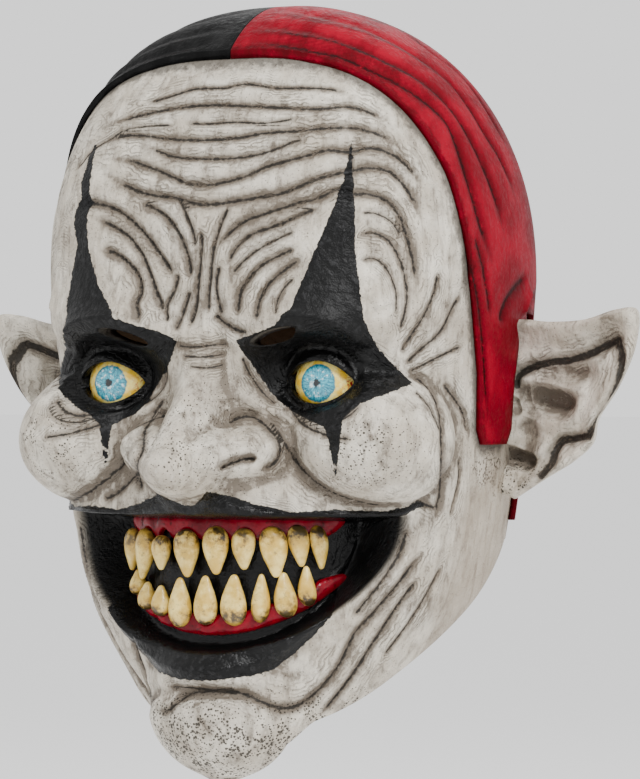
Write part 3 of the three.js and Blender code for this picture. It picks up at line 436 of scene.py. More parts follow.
class Grid:
    """A round height field: rows are levels, columns are angles from straight ahead."""

    def __init__(self, columns, dome_rows, face_rows, crowding):
        turn = 2 * np.arange(columns) / columns - 1
        self.angles = np.pi * turn - crowding * np.sin(np.pi * turn)
        dome = FOOT + (CROWN - FOOT) * np.cos(np.pi / 2 * np.arange(1, dome_rows + 1) / dome_rows)
        share = np.arange(1, face_rows) / face_rows
        self.levels = np.concatenate([dome, lerp(FOOT, CHIN_BOTTOM, 1 - (1 - share) ** 1.12)])
        self.angle, self.z = np.meshgrid(self.angles, self.levels)

    def spots(self, angle, z):
        columns = len(self.angles)
        c = np.interp(angle, np.append(self.angles, np.pi), np.arange(columns + 1.0))
        r = np.interp(-z, -self.levels, np.arange(float(len(self.levels))))
        c0, r0 = np.floor(c).astype(int), np.minimum(np.floor(r).astype(int), len(self.levels) - 2)
        return r0, r - r0, c0 % columns, (c0 + 1) % columns, c - c0

    def sample(self, field, spots):
        r0, fr, c0, c1, fc = spots
        top = field[r0, c0] * (1 - fc) + field[r0, c1] * fc
        low = field[r0 + 1, c0] * (1 - fc) + field[r0 + 1, c1] * fc
        return top * (1 - fr) + low * fr

    def normals(self, points):
        along = np.roll(points, -1, axis=1) - np.roll(points, 1, axis=1)
        down = np.gradient(points, axis=0)
        n = np.cross(down, along)
        return n / np.maximum(np.linalg.norm(n, axis=-1, keepdims=True), 1e-9)


def box_filter(field, rows, columns, least=False):
    """The mean, or the least value, over a window; columns run round."""
    def gathered(stack):
        return np.minimum.reduce(stack) if least else sum(stack) / len(stack)

    out = gathered([np.roll(field, k, axis=1) for k in range(-columns, columns + 1)])
    padded = np.pad(out, ((rows, rows), (0, 0)), mode="edge")
    return gathered([padded[k:k + out.shape[0]] for k in range(2 * rows + 1)])


def new_object(name, points, faces):
    """A mesh object from millimetre points and faces that all have as many corners."""
    mesh = bpy.data.meshes.new(name)
    points, faces = np.asarray(points, float), np.asarray(faces, int)
    mesh.vertices.add(len(points))
    mesh.vertices.foreach_set("co", (points * MM).ravel())
    mesh.loops.add(faces.size)
    mesh.loops.foreach_set("vertex_index", faces.ravel())
    mesh.polygons.add(len(faces))
    mesh.polygons.foreach_set("loop_start", np.arange(0, faces.size, faces.shape[1]))
    mesh.update(calc_edges=True)
    obj = bpy.data.objects.new(name, mesh)
    bpy.context.scene.collection.objects.link(obj)
    return obj


def prism(name, points):
    """A prism from the corners of its near end and then those of its far end."""
    n = len(points) // 2
    walls = [(i, (i + 1) % n, n + (i + 1) % n, n + i) for i in range(n)]
    ends = [tuple(range(n))[::-1], tuple(range(n, 2 * n))]
    mesh = bpy.data.meshes.new(name)
    mesh.from_pydata([Vector(p) * MM for p in points], [], [*walls, *ends])
    mesh.update()
    obj = bpy.data.objects.new(name, mesh)
    bpy.context.scene.collection.objects.link(obj)
    return outward(obj)


def closed_skin(name, points, first, last):
    """A closed solid through rows of points, with one point at each end."""
    rows, wide = points.shape[:2]
    verts = np.vstack([first, points.reshape(-1, 3), last])
    r, c = np.meshgrid(np.arange(rows - 1), np.arange(wide), indexing="ij")
    a, b = 1 + r * wide + c, 1 + r * wide + (c + 1) % wide
    d, e = a + wide, b + wide
    c = np.arange(wide)
    end = len(verts) - 1
    faces = np.vstack([
        np.stack([a, d, b], -1).reshape(-1, 3), np.stack([b, d, e], -1).reshape(-1, 3),
        np.stack([0 * c, 1 + c, 1 + (c + 1) % wide], -1),
        np.stack([end - wide + c, 0 * c + end, end - wide + (c + 1) % wide], -1),
    ])
    return new_object(name, verts, faces)


def side_prism(name, outline):
    """A prism across the whole mask from an outline of [y, z] points."""
    return prism(name, [(x, y, z) for x in (-FAR, FAR) for y, z in outline])


def front_prism(name, outline, near, far):
    """A prism from front to back from an outline of [x, z] points."""
    return prism(name, [(x, y, z) for y in (near, far) for x, z in outline])


def outward(obj):
    """The same object with its faces turned outward."""
    bm = bmesh.new()
    bm.from_mesh(obj.data)
    bmesh.ops.recalc_face_normals(bm, faces=bm.faces)
    bm.to_mesh(obj.data)
    bm.free()
    return obj


def combine(obj, other, operation, keep=False):
    """A boolean of two closed solids; the other one goes, unless it is kept for more cuts."""
    modifier = obj.modifiers.new("cut", "BOOLEAN")
    modifier.operation = operation
    modifier.solver = "MANIFOLD"
    modifier.object = other
    mesh = bpy.data.meshes.new_from_object(obj.evaluated_get(bpy.context.evaluated_depsgraph_get()))
    obj.modifiers.clear()
    mesh.name = obj.data.name
    obj.data = mesh
    if not keep:
        bpy.data.objects.remove(other)
    return obj


def points_of(obj):
    co = np.empty(len(obj.data.vertices) * 3)
    obj.data.vertices.foreach_get("co", co)
    return co.reshape(-1, 3) / MM


def store(obj, **fields):
    for name, values in fields.items():
        attribute = obj.data.attributes.new(name, "FLOAT", "POINT")
        attribute.data.foreach_set("value", np.ascontiguousarray(values, dtype=np.float32))
    return obj


def store_vector(obj, name, values):
    attribute = obj.data.attributes.new(name, "FLOAT_VECTOR", "POINT")
    attribute.data.foreach_set("vector", np.ascontiguousarray(values, dtype=np.float32).ravel())


def piece(obj, material, node):
    """Paints an object, shades it smooth and lets it stand for a node of the part."""
    obj.data.materials.clear()
    obj.data.materials.append(material)
    obj.data.polygons.foreach_set("use_smooth", np.ones(len(obj.data.polygons), bool))
    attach(obj, "root")
    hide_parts(node)
    return obj


# The face as a smooth form
grid = Grid(GRID_COLUMNS, DOME_ROWS, FACE_ROWS, CROWDING)
shape = grid.angle.shape
flat_angle, flat_z = grid.angle.ravel(), grid.z.ravel()
plain = plain_radius(flat_angle, flat_z)
faceward = smooth((FOOT - flat_z) / FACE_DROP + FADE_ABOVE, 0, FADE_OVER)
faceward = smooth(np.cos(flat_angle), -0.05, 0.25) * faceward
form = blended(plain, SWELLINGS, flat_angle, flat_z)
form = with_nose(form, flat_angle, flat_z)
# round the widest level, the rows are evened out
level_hold = np.exp(-((flat_z - FOOT) / LEVEL_BAND) ** 2)
form = lerp(form, box_filter(box_filter(form.reshape(shape), 9, 0), 9, 0).ravel(), level_hold)
form = blended(form, HOLLOWS, flat_angle, flat_z, hollow=True)
form = blended(form, LIDS, flat_angle, flat_z)


def photo_side(points):
    """Each point on the side of the mask that the photograph sees."""
    return points * np.sign(points[..., :1] + 1e-9) * np.array([1, 0, 0]) + points * np.array([0, 1, 1])


bare_face = place(lerp(plain, form, faceward), flat_angle, flat_z)
spot_px, straight_px = to_px(photo_side(bare_face)), to_px(bare_face)
forward = np.cos(flat_angle) > -0.1
lips = np.where(forward, inside_distance(spot_px, LIP_PAINT) / PX_PER_MM, -BEYOND)
paint = np.where(np.sin(flat_angle) > 0, inside_distance(spot_px, EYE_PAINT),
                 inside_distance(straight_px, EYE_PAINT_RIGHT))
paint = np.where(forward, paint / PX_PER_MM, -BEYOND)
form = form + LIP_LIFT * smooth(lips, -0.3 * LIP_LIFT, 1.4 * LIP_LIFT)
tooth_line = arch_radius(flat_angle, TOOTH_DEPTH) * np.sin(flat_angle)
top = -MOUTH_DROP - LIP_INNER["below"]
fall = (top - flat_z) / LIP_INNER["height"]
oval = ((np.abs(tooth_line) / LIP_INNER["half_width"]) ** LIP_INNER["curve"]
        + np.maximum(fall, 0) ** LIP_INNER["curve"]) ** (1 / LIP_INNER["curve"])
in_mouth = np.minimum((1 - oval) * LIP_INNER["height"], top - flat_z)
mouth = smooth(in_mouth, -0.6 * LIP_LIFT, 0.4 * LIP_LIFT)
form = lerp(form, np.minimum(form, arch_radius(flat_angle)), mouth)
radius = lerp(plain, form, faceward).reshape(shape)
smooth_points = place(radius, grid.angle, grid.z)
smooth_normals = grid.normals(smooth_points)
camera_place = VIEW_TARGET + VIEW_DISTANCE * BACKWARD
to_camera = camera_place - smooth_points
to_camera /= np.linalg.norm(to_camera, axis=-1, keepdims=True)
unseen = 1 - smooth((smooth_normals * to_camera).sum(-1), 0.05, 0.3)


def onto_face(px, lift=0.0):
    """Pixels of the photograph carried along their rays onto the smooth face."""
    px = np.asarray(px, float)
    ray = (-BACKWARD + RIGHT * ((px[:, :1] - PHOTO_WIDE / 2) / FOCAL_PX)
           + UP * ((PHOTO_HIGH / 2 - px[:, 1:2]) / FOCAL_PX))
    run = np.arange(VIEW_DISTANCE - 150, VIEW_DISTANCE + 150, 1.0)
    at = camera_place + ray[:, None, :] * run[None, :, None]
    out = np.hypot(at[..., 0], at[..., 1]) - lift
    gap = out - grid.sample(radius, grid.spots(np.arctan2(at[..., 0], -at[..., 1]), at[..., 2]))
    gap = np.where((at[..., 2] > CROWN + lift) | (at[..., 2] < CHIN_BOTTOM), 50 + gap, gap)
    hit = (gap < 0).any(axis=1)
    k = np.where(hit, np.maximum(np.argmax(gap < 0, axis=1), 1), np.argmin(gap, axis=1))
    row = np.arange(len(px))
    share = np.where(hit, gap[row, k - 1] / np.maximum(gap[row, k - 1] - gap[row, k], 1e-6), 1)
    return at[row, k - 1] + (at[row, k] - at[row, k - 1]) * share[:, None]


def strokes(table, points, unseen_share, carry=onto_face):
    """The strokes' pull on each point, the distance to the nearest line, and that with its side as a sign."""
    pull = np.zeros(len(points))
    nearest = np.full(len(points), BEYOND)
    signed = np.full(len(points), BEYOND)
    for depth, reach, repeat, px in table.values():
        depth = depth * FOLD_DEPTH
        traced = carry(resampled(px, 5.0))
        copies = [(traced, None)]
        if repeat != "one":
            copies.append((traced * np.array([-1, 1, 1]), unseen_share if repeat == "far" else None))
        for line, share in copies:
            margin = max(reach, 7.0)
            boxed = (points > line.min(0) - margin) & (points < line.max(0) + margin)
            near = np.nonzero(boxed.all(axis=1))[0]
            if not len(near):
                continue
            distance, where, sign = line_distance(points[near], line)
            hold = smooth(where, 0, 0.15) * smooth(1 - where, 0, 0.15)
            if share is not None:
                hold = hold * share[near]
            t = np.clip(distance / reach, 0, 1)
            bend = 0.5 * (1 - np.sqrt(np.maximum(1 - (1 - t) ** 2, 0))) + 0.5 * (1 - t) ** 2
            pull[near] = np.maximum(pull[near], depth * hold * bend)
            thin = distance * min(max(2.0 / depth, 0.8), 1.5)
            apart = thin + 4 * (1 - hold)
            closer = apart < nearest[near]
            signed[near[closer]] = (thin * sign)[closer]
            nearest[near[closer]] = apart[closer]
    return pull, nearest, signed


flat_points = smooth_points.reshape(-1, 3)
grooves, crease, beside = strokes(FOLDS, flat_points, unseen.ravel())
lifts, _, _ = strokes(RIDGES, flat_points, unseen.ravel())
face_radius = radius - grooves.reshape(shape) + lifts.reshape(shape)
crease, beside = crease.reshape(shape), beside.reshape(shape)
lips, paint, in_mouth = lips.reshape(shape), paint.reshape(shape), in_mouth.reshape(shape)
# how far each point lies below its near and its wider surroundings; the skin's paint darkens hollows by them,
# partly as painted shade
low = box_filter(face_radius, 5, 5) - face_radius
broad = box_filter(box_filter(face_radius, 9, 9), 9, 9) - face_radius


def edge_points(rows):
    return [(back * HEAD_BACK, CROWN - down * MASK_HEIGHT) for back, down in rows]


cap_edge = edge_points(CAP_EDGE)
cap_zone = [(cap_edge[0][0], FAR), *cap_edge, (FAR, cap_edge[-1][1]), (FAR, FAR)]
skull_edge = edge_points(SKULL_OPENING)
skull_zone = [(skull_edge[0][0], FAR), *skull_edge, (FAR, skull_edge[-1][1]), (FAR, FAR)]
rim_zone = [(FAR, -NAPE_DROP), (RIM_BEND_BACK, -NAPE_DROP), (-CHIN_RIM_FRONT, -CHIN_RIM_DROP),
            (-CHIN_RIM_FRONT, -FAR), (FAR, -FAR)]
cap_gap = -inside_distance(flat_points[:, 1:], cap_zone).reshape(shape)

pole_top, pole_low = np.array([0, 0, CROWN]), np.array([0, 0, CHIN_BOTTOM])
skin = closed_skin("face_skin", place(face_radius, grid.angle, grid.z), pole_top, pole_low)
face_block = skin.copy()
face_block.data = skin.data.copy()
bpy.context.scene.collection.objects.link(face_block)
inner_radius = np.maximum(box_filter(face_radius, 4, 4, least=True) - LATEX, 1)[3:-3:4, ::4]
inner_angle, inner_z = grid.angle[3:-3:4, ::4], grid.z[3:-3:4, ::4]
hollow = closed_skin("hollow", place(inner_radius, inner_angle, inner_z),
                     pole_top - [0, 0, LATEX], pole_low + [0, 0, LATEX])
combine(skin, hollow, "DIFFERENCE")


def eye_cap(name, centre, radius, back, sides, rings):
    """The front of a ball, closed by a flat back, looking along -Y."""
    most = math.acos(back / radius)
    turn, lean = np.meshgrid(np.arange(sides) / sides * 2 * np.pi, np.linspace(0, most, rings)[1:])
    points = np.stack([radius * np.sin(lean) * np.cos(turn), -radius * np.cos(lean),
                       radius * np.sin(lean) * np.sin(turn)], -1) + centre
    return outward(closed_skin(name, points, centre - [0, radius, 0], centre - [0, back, 0]))


eye_back = EYE_RADIUS * math.cos(math.radians(EYE_HALF_ANGLE))
EYE_CENTRES = {"left": np.array([EYE_SPACING / 2, -EYE_CENTRE_FRONT, -EYE_DROP]),
               "right": np.array([-EYE_SPACING / 2, -EYE_CENTRE_FRONT, -EYE_DROP])}


def lid_outline(centre):
    # turned a little, so that no corner lies on the pocket's own edges
    turn = np.linspace(0, 2 * np.pi, 56, endpoint=False) + 0.03
    wide, high = LID_OPENING
    up = np.sin(turn) * np.abs(np.sin(turn)) ** 0.45
    return [(centre[0] + wide / 2 * math.cos(t), centre[2] + 0.4 + high / 2 * u) for t, u in zip(turn, up)]


def slit_outline(side):
    """The narrow hole above the eye that the wearer looks through."""
    slant = math.radians(SLIT["slant"]) * side
    turn = np.linspace(0, 2 * np.pi, 32, endpoint=False)
    x, z = SLIT["width"] / 2 * np.cos(turn), SLIT["height"] / 2 * np.sin(turn)
    return [(side * SLIT["across"] + a * math.cos(slant) - b * math.sin(slant),
             -SLIT["drop"] + a * math.sin(slant) + b * math.cos(slant)) for a, b in zip(x, z)]


for name, centre in EYE_CENTRES.items():
    seat = eye_cap("seat", centre, EYE_RADIUS + SEAM_GAP + LATEX, eye_back - SEAM_GAP - LATEX, 40, 14)
    combine(seat, face_block, "INTERSECT", keep=True)
    combine(skin, seat, "UNION")
    pocket = eye_cap("pocket", centre, EYE_RADIUS + SEAM_GAP, eye_back - SEAM_GAP, 56, 20)
    combine(skin, pocket, "DIFFERENCE")
    combine(skin, front_prism("lids", lid_outline(centre), -FAR, centre[1] - EYE_RADIUS / 2), "DIFFERENCE")
    side = 1 if name == "left" else -1
    combine(skin, front_prism("slit", slit_outline(side), -FAR, -LATEX), "DIFFERENCE")
combine(skin, side_prism("opening", skull_zone), "DIFFERENCE")
combine(skin, side_prism("rim", rim_zone), "DIFFERENCE")


def skin_fields(obj):
    """The painter's guides at each point of a face piece, read from the height field."""
    p = points_of(obj)
    spots = grid.spots(np.arctan2(p[:, 0], -p[:, 1]), p[:, 2])
    out = np.hypot(p[:, 0], p[:, 1])
    deep = grid.sample(face_radius, spots) - out
    near_eye = np.min([np.linalg.norm(p - c, axis=1) for c in EYE_CENTRES.values()], axis=0)
    inside = smooth(deep, 1.2, 2.2) * (near_eye > EYE_RADIUS + LID_WALL + 2)
    guides = dict(crease=crease, beside=beside, fold=grooves.reshape(shape), lips=lips, paint=paint,
                  mouth=in_mouth, low=low, broad=broad, cap=cap_gap)
    fields = {name: grid.sample(field, spots) for name, field in guides.items()}
    fields["inside"] = inside
    # where shade is painted, under the jaw and towards the back
    fields["neck"] = smooth(p[:, 1], -45, 5) * smooth(-p[:, 2], 165, 205)
    px = to_px(photo_side(p))
    fields["eye"] = near_eye - EYE_RADIUS
    cheek = smooth(-np.hypot((px[:, 0] - 365) / 75, (px[:, 1] - 450) / 55), -1, -0.2)
    chin = smooth(-p[:, 2], 262, 285)
    ear_front = smooth(-np.hypot((px[:, 0] - 490) / 26, (px[:, 1] - 470) / 40), -1, -0.2)
    nose = smooth(-np.hypot(p[:, 0] / 34, (p[:, 2] + 175) / 30), -1, -0.2)
    fields["pores"] = np.clip(0.6 * cheek + chin + ear_front + 0.5 * nose, 0, 1)
    return store(obj, **fields)


skin_fields(skin)


# Cap
cap_grid = Grid(CAP_COLUMNS, CAP_DOME_ROWS, FACE_ROWS, 0.0)
cap_rows = cap_grid.levels > cap_edge[-1][1] - 12
ca, cz = cap_grid.angle[cap_rows], cap_grid.z[cap_rows]
cap_radius = grid.sample(radius, grid.spots(ca.ravel(), cz.ravel())).reshape(ca.shape)
dome = cz > FOOT + 3
cap_radius = np.where(dome, plain_radius(ca.ravel(), cz.ravel()).reshape(ca.shape), cap_radius)
cap_base = place(cap_radius, ca, cz)
cap_normals = cap_grid.normals(cap_base)
CAP_GROOVES = {
    "front_1": (1.6, 6.5, "both", [(232, 47), (250, 43), (270, 42), (290, 44), (310, 48), (330, 52),
        (344, 56), (365, 66), (387, 76), (408, 88), (430, 104), (448, 122), (458, 145), (466, 170),
        (474, 195), (482, 225), (489, 250), (494, 272)]),
    "front_2": (1.5, 6.0, "both", [(240, 33), (255, 30), (275, 29), (295, 31), (320, 35), (351, 45),
        (381, 58), (412, 74), (436, 92), (456, 114), (472, 140), (484, 165), (494, 190), (501, 215),
        (505, 240)]),
    "front_3": (1.4, 6.0, "both", [(262, 16), (275, 14), (290, 15), (310, 18), (330, 22), (351, 27),
        (371, 34), (402, 49), (432, 68), (453, 86), (470, 108), (485, 132), (500, 156), (510, 180),
        (517, 205)]),
    "front_4": (1.2, 5.0, "both", [(320, 11), (345, 13), (371, 20), (402, 35), (432, 55), (455, 72),
        (474, 93), (492, 120), (508, 150)]),
    "edge_roll": (1.0, 5.0, "both", [(455, 205), (463, 232), (471, 262), (478, 292), (482, 322), (485, 355),
        (487, 388), (488, 418)]),
    "tab_line": (0.8, 3.4, "both", [(474, 232), (482, 262), (488, 292), (491, 318)]),
    "pinch": (2.0, 6.0, "both", [(528, 276), (520, 285), (511, 297), (504, 312), (502, 326)]),
    "pinch_2": (1.2, 4.0, "both", [(536, 292), (530, 304), (526, 316)]),
}
CAP_RIDGES = {
    "edge": (0.8, 4.5, "both", [(318, 70), (350, 82), (385, 108), (412, 140), (432, 182), (449, 232),
        (462, 282), (470, 332), (474, 382), (475, 430)]),
    "pinch_bulge": (2.0, 9.0, "both", [(530, 290), (524, 304), (522, 316)]),
}


def onto_cap(px):
    return onto_face(px, lift=SEAM_GAP + CAP_LATEX)


cap_flat = (cap_base + (SEAM_GAP + CAP_LATEX) * cap_normals).reshape(-1, 3)
all_seen = np.zeros(len(cap_flat))
cap_cut, cap_crease, cap_beside = strokes(CAP_GROOVES, cap_flat, all_seen, onto_cap)
cap_lift, _, _ = strokes(CAP_RIDGES, cap_flat, all_seen, onto_cap)
cap_cut, cap_lift = cap_cut.reshape(ca.shape), cap_lift.reshape(ca.shape)
cap_out = SEAM_GAP + CAP_LATEX + 0.9 * (cap_lift - cap_cut)
cap_outer = cap_base + cap_normals * np.maximum(cap_out, SEAM_GAP + 0.9)[..., None]
cap_inner = (cap_base + cap_normals * SEAM_GAP)[1::4, ::4]
lowest = cz.min()


def cap_piece(name, side, material):
    crown = np.array([0, 0, CROWN + SEAM_GAP + CAP_LATEX])
    shell = closed_skin(name, cap_outer, crown, np.array([0, 0, lowest]))
    inner = closed_skin("cap_inner", cap_inner, np.array([0, 0, CROWN + SEAM_GAP]),
                        np.array([0, 0, lowest + 6]))
    combine(shell, inner, "DIFFERENCE")
    combine(shell, side_prism("cap_zone", cap_zone), "INTERSECT")
    half = [(side * SEAM_GAP / 2, -FAR), (side * FAR, -FAR), (side * FAR, FAR), (side * SEAM_GAP / 2, FAR)]
    combine(shell, front_prism("half", half, -FAR, FAR), "INTERSECT")
    p = points_of(shell)
    q = p * np.array([side, 1, 1])
    spots = cap_grid.spots(np.arctan2(q[:, 0], -q[:, 1]), np.maximum(q[:, 2], lowest))

    def sampled(values, below):
        """A field of the cap's rows, with one value for the rows below them."""
        full = np.full((len(cap_grid.levels), ca.shape[1]), below)
        full[:np.count_nonzero(cap_rows)] = values.reshape(ca.shape)
        return cap_grid.sample(full, spots)

    deep = sampled(np.hypot(cap_outer[..., 0], cap_outer[..., 1]), 0.0) - np.hypot(q[:, 0], q[:, 1])
    edge = inside_distance(p[:, 1:], cap_zone)
    inside = smooth(deep, 1.6, 2.2) * smooth(-p[:, 2], 20, 40) * smooth(edge, 1.0, 2.5)
    # behind, how far back each point lies, darkens the cap towards the back as painted shade
    store(shell, crease=sampled(cap_crease, BEYOND), beside=sampled(cap_beside, BEYOND), edge=edge,
          inside=inside, behind=p[:, 1])
    return piece(shell, material, name.replace("_shell", ""))


# Ears
EAR_OUTLINE = [
    (0.14, 0.0), (0.36, 0.11), (0.55, 0.2), (0.69, 0.3), (0.73, 0.43), (0.87, 0.6), (0.98, 0.8),
    (1.0, 0.99), (0.86, 1.0), (0.64, 0.95), (0.4, 0.94), (0.13, 0.95), (-0.08, 0.86), (-0.14, 0.5),
    (-0.08, 0.1),
]
EAR_BOWL = (0.3, 0.5)
EAR_PROFILE = [
    (0, 1.2), (0.3, 1.0), (0.5, 0.5), (0.7, 0.45), (0.82, -0.1), (0.93, -0.7), (0.985, -0.55), (1.0, -0.1),
]
EAR_HOLLOWS = {
    "helix_edge": (3.0, 4.2, [(515, 385), (518, 376), (530, 368), (546, 363), (568, 360), (586, 355),
        (602, 347), (616, 340)]),
    "outer_crease": (2.4, 3.0, [(616, 340), (620, 353), (621, 366), (618, 382), (613, 398), (604, 414),
        (593, 428), (588, 435)]),
    "lobe_crease": (2.8, 3.4, [(588, 436), (573, 439), (561, 441), (554, 453), (552, 462), (541, 476)]),
    "fossa": (3.0, 7.5, [(546, 371), (568, 374), (586, 374)]),
    "hole": (8.0, 8.0, [(542, 398), (552, 401), (562, 405)]),
    "plane": (3.4, 6.0, [(522, 392), (526, 404), (532, 412)]),
    "notch": (4.0, 4.0, [(513, 402), (515, 410)]),
    "concha": (4.0, 7.0, [(526, 426), (530, 436), (526, 446)]),
    "canal": (8.5, 5.5, [(511, 456), (518, 458), (527, 461)]),
}
EAR_RIDGES = {
    "helix": (1.6, 6.0, [(516, 362), (530, 348), (550, 341), (575, 337), (600, 328), (620, 318)]),
    "crus": (2.2, 5.0, [(524, 379), (545, 380), (566, 384), (584, 390), (592, 400)]),
    "antihelix": (2.6, 6.5, [(604, 366), (600, 386), (588, 404), (568, 418), (548, 422), (536, 428),
        (540, 452)]),
    "ridge": (1.8, 3.6, [(520, 424), (528, 418), (538, 413)]),
    "canal_rim": (2.0, 3.4, [(537, 440), (539, 455), (532, 467), (520, 471), (506, 470)]),
    "tragus": (2.4, 5.0, [(508, 428), (506, 442), (502, 452)]),
    "lobe": (1.5, 9.0, [(520, 485), (545, 476), (565, 462)]),
}
ear_outline = resampled([*EAR_OUTLINE, EAR_OUTLINE[0]], 0.012)[:-1]
EAR_RINGS = 84
shares = np.linspace(0, 1, EAR_RINGS + 1)[1:] ** 0.85
bowl = np.array(EAR_BOWL)
leaf = bowl + (ear_outline[None] - bowl) * shares[:, None, None]
profile = np.array(EAR_PROFILE)
depth = np.interp(shares, profile[:, 0], profile[:, 1])
depth = np.convolve(np.pad(depth, 4, mode="edge"), np.ones(9) / 9, "valid")
ear_x = EAR_ROOT + leaf[..., 0] * EAR_SPAN
ear_z = leaf[..., 1] * EAR_HEIGHT - EAR_LOBE_DROP
ear_lean = EAR_LEAN * leaf[..., 0]
ear_y = EAR_BACK + ear_lean + depth[:, None] * EAR_WALL
ear_front = np.stack([ear_x, ear_y, ear_z], -1)
ear_px = to_px(ear_front).reshape(-1, 2)
rim_hold = (1 - smooth(shares, 0.93, 1.0))[:, None]


def ear_line(px):
    """The distance of each point of the ear, as the photograph sees it, from a traced line."""
    return line_distance(ear_px / PX_PER_MM, resampled(px, 5.0) / PX_PER_MM)[0]


def ear_strokes(table):
    total = np.zeros(len(ear_px))
    for deep, reach, px in table.values():
        distance = ear_line(px)
        t = np.clip(distance / reach, 0, 1)
        total = np.maximum(total, deep * (1 - t * t) ** 2)
    return total.reshape(ear_y.shape)


ear_low = ear_strokes(EAR_HOLLOWS)
EAR_LINES = ("helix_edge", "outer_crease", "lobe_crease")
ear_lines = np.min([ear_line(EAR_HOLLOWS[name][2]) for name in EAR_LINES], axis=0)
ear_high = ear_strokes(EAR_RIDGES)
ear_front[..., 1] += (ear_low - ear_high) * rim_hold
wall = EAR_WALL * (0.55 + 0.45 * (1 - shares**2))[:, None]
ear_behind_y = EAR_BACK + ear_lean + depth[:, None] * EAR_WALL * 0.6 + 0.6 * ear_low * rim_hold + wall
ear_behind = np.stack([ear_x, ear_behind_y, ear_z], -1)
ear_behind[..., 1] = np.maximum(ear_behind[..., 1], ear_front[..., 1] + 2.0)
ear_behind[-1] = ear_front[-1] + [0, 2.2, 0]
ear_points = np.concatenate([ear_front, ear_behind[::-1]])
bowl_front, bowl_behind = ear_front[0].mean(axis=0), ear_behind[0].mean(axis=0)


def ear_piece(name, side, material):
    flip = np.array([side, 1, 1])
    obj = outward(closed_skin(name, ear_points * flip, bowl_front * flip, bowl_behind * flip))
    ring = ear_x.shape[1]

    def padded(front, away):
        """A guide of the front's points, with one value on the back."""
        return np.concatenate([[front.ravel()[:ring].mean()], front.ravel(), np.full(front.size + 1, away)])

    store(obj, hollow=padded(ear_low, 0.0), crease=padded(ear_lines, 20.0))
    combine(obj, face_block, "DIFFERENCE", keep=True)
    p = points_of(obj)
    zero = np.zeros(len(p))
    hollow = np.empty(len(p))
    obj.data.attributes["hollow"].data.foreach_get("value", hollow)
    edge = np.abs(p[:, 0]) - 91
    # the ear's hollows feed the low, broad and fold guides, so that the skin's wash darkens them, partly as
    # painted shade
    store(obj, low=0.22 * hollow, broad=0.35 * hollow, fold=0.03 * hollow**2.2, beside=zero, inside=zero,
          neck=zero, lips=zero - BEYOND, paint=zero - BEYOND, mouth=zero - BEYOND, cap=zero + BEYOND,
          eye=zero + BEYOND, pores=smooth(-p[:, 2], 170, 185) * smooth(-edge, -14, -4))
    return piece(obj, material, name.replace("_skin", ""))


# Teeth: across, root, point, wide, lean, as in the part
UPPER_TEETH = {
    "left_1": (0.07, 0.12, 0.4, 1.03, 0), "left_2": (0.268, 0.13, 0.37, 0.88, 0),
    "left_3": (0.435, 0.12, 0.415, 0.97, -7), "left_4": (0.58, 0.11, 0.355, 0.76, -9),
    "left_5": (0.69, 0.115, 0.37, 0.66, -8), "right_1": (-0.169, 0.14, 0.42, 1.06, 3),
    "right_2": (-0.376, 0.18, 0.385, 0.84, -3), "right_3": (-0.547, 0.145, 0.45, 1.02, -9),
    "right_4": (-0.72, 0.15, 0.405, 0.86, -9),
}
LOWER_TEETH = {
    "left_1": (0.2, 0.69, 0.395, 0.94, 0), "left_2": (0.37, 0.67, 0.39, 0.7, -2),
    "left_3": (0.54, 0.64, 0.38, 0.8, 6), "left_4": (0.655, 0.577, 0.345, 0.66, 4),
    "right_1": (-0.012, 0.69, 0.405, 0.88, 0), "right_2": (-0.215, 0.71, 0.42, 0.9, 0),
    "right_3": (-0.385, 0.65, 0.47, 0.78, 0), "right_4": (-0.535, 0.62, 0.455, 0.72, 4),
    "right_5": (-0.66, 0.54, 0.39, 0.62, 4),
}
TOOTH_PROFILE = [
    (0.0, 0.0), (0.02, 0.3), (0.07, 0.62), (0.2, 0.92), (0.38, 1.0), (0.58, 0.86), (0.78, 0.58), (0.92, 0.36),
    (0.98, 0.2), (1.0, 0.0),
]


def arch_point(across, out):
    side, front = ARCH_HALF + out, ARCH_FRONT + out
    x = across * ARCH_HALF
    share = abs(x) / side
    y = front * (1 - share**ARCH_CURVE) ** (1 / ARCH_CURVE)
    turn = math.atan2(share ** (ARCH_CURVE - 1) / side, (y / front) ** (ARCH_CURVE - 1) / front)
    return x, -y, math.copysign(turn, x)


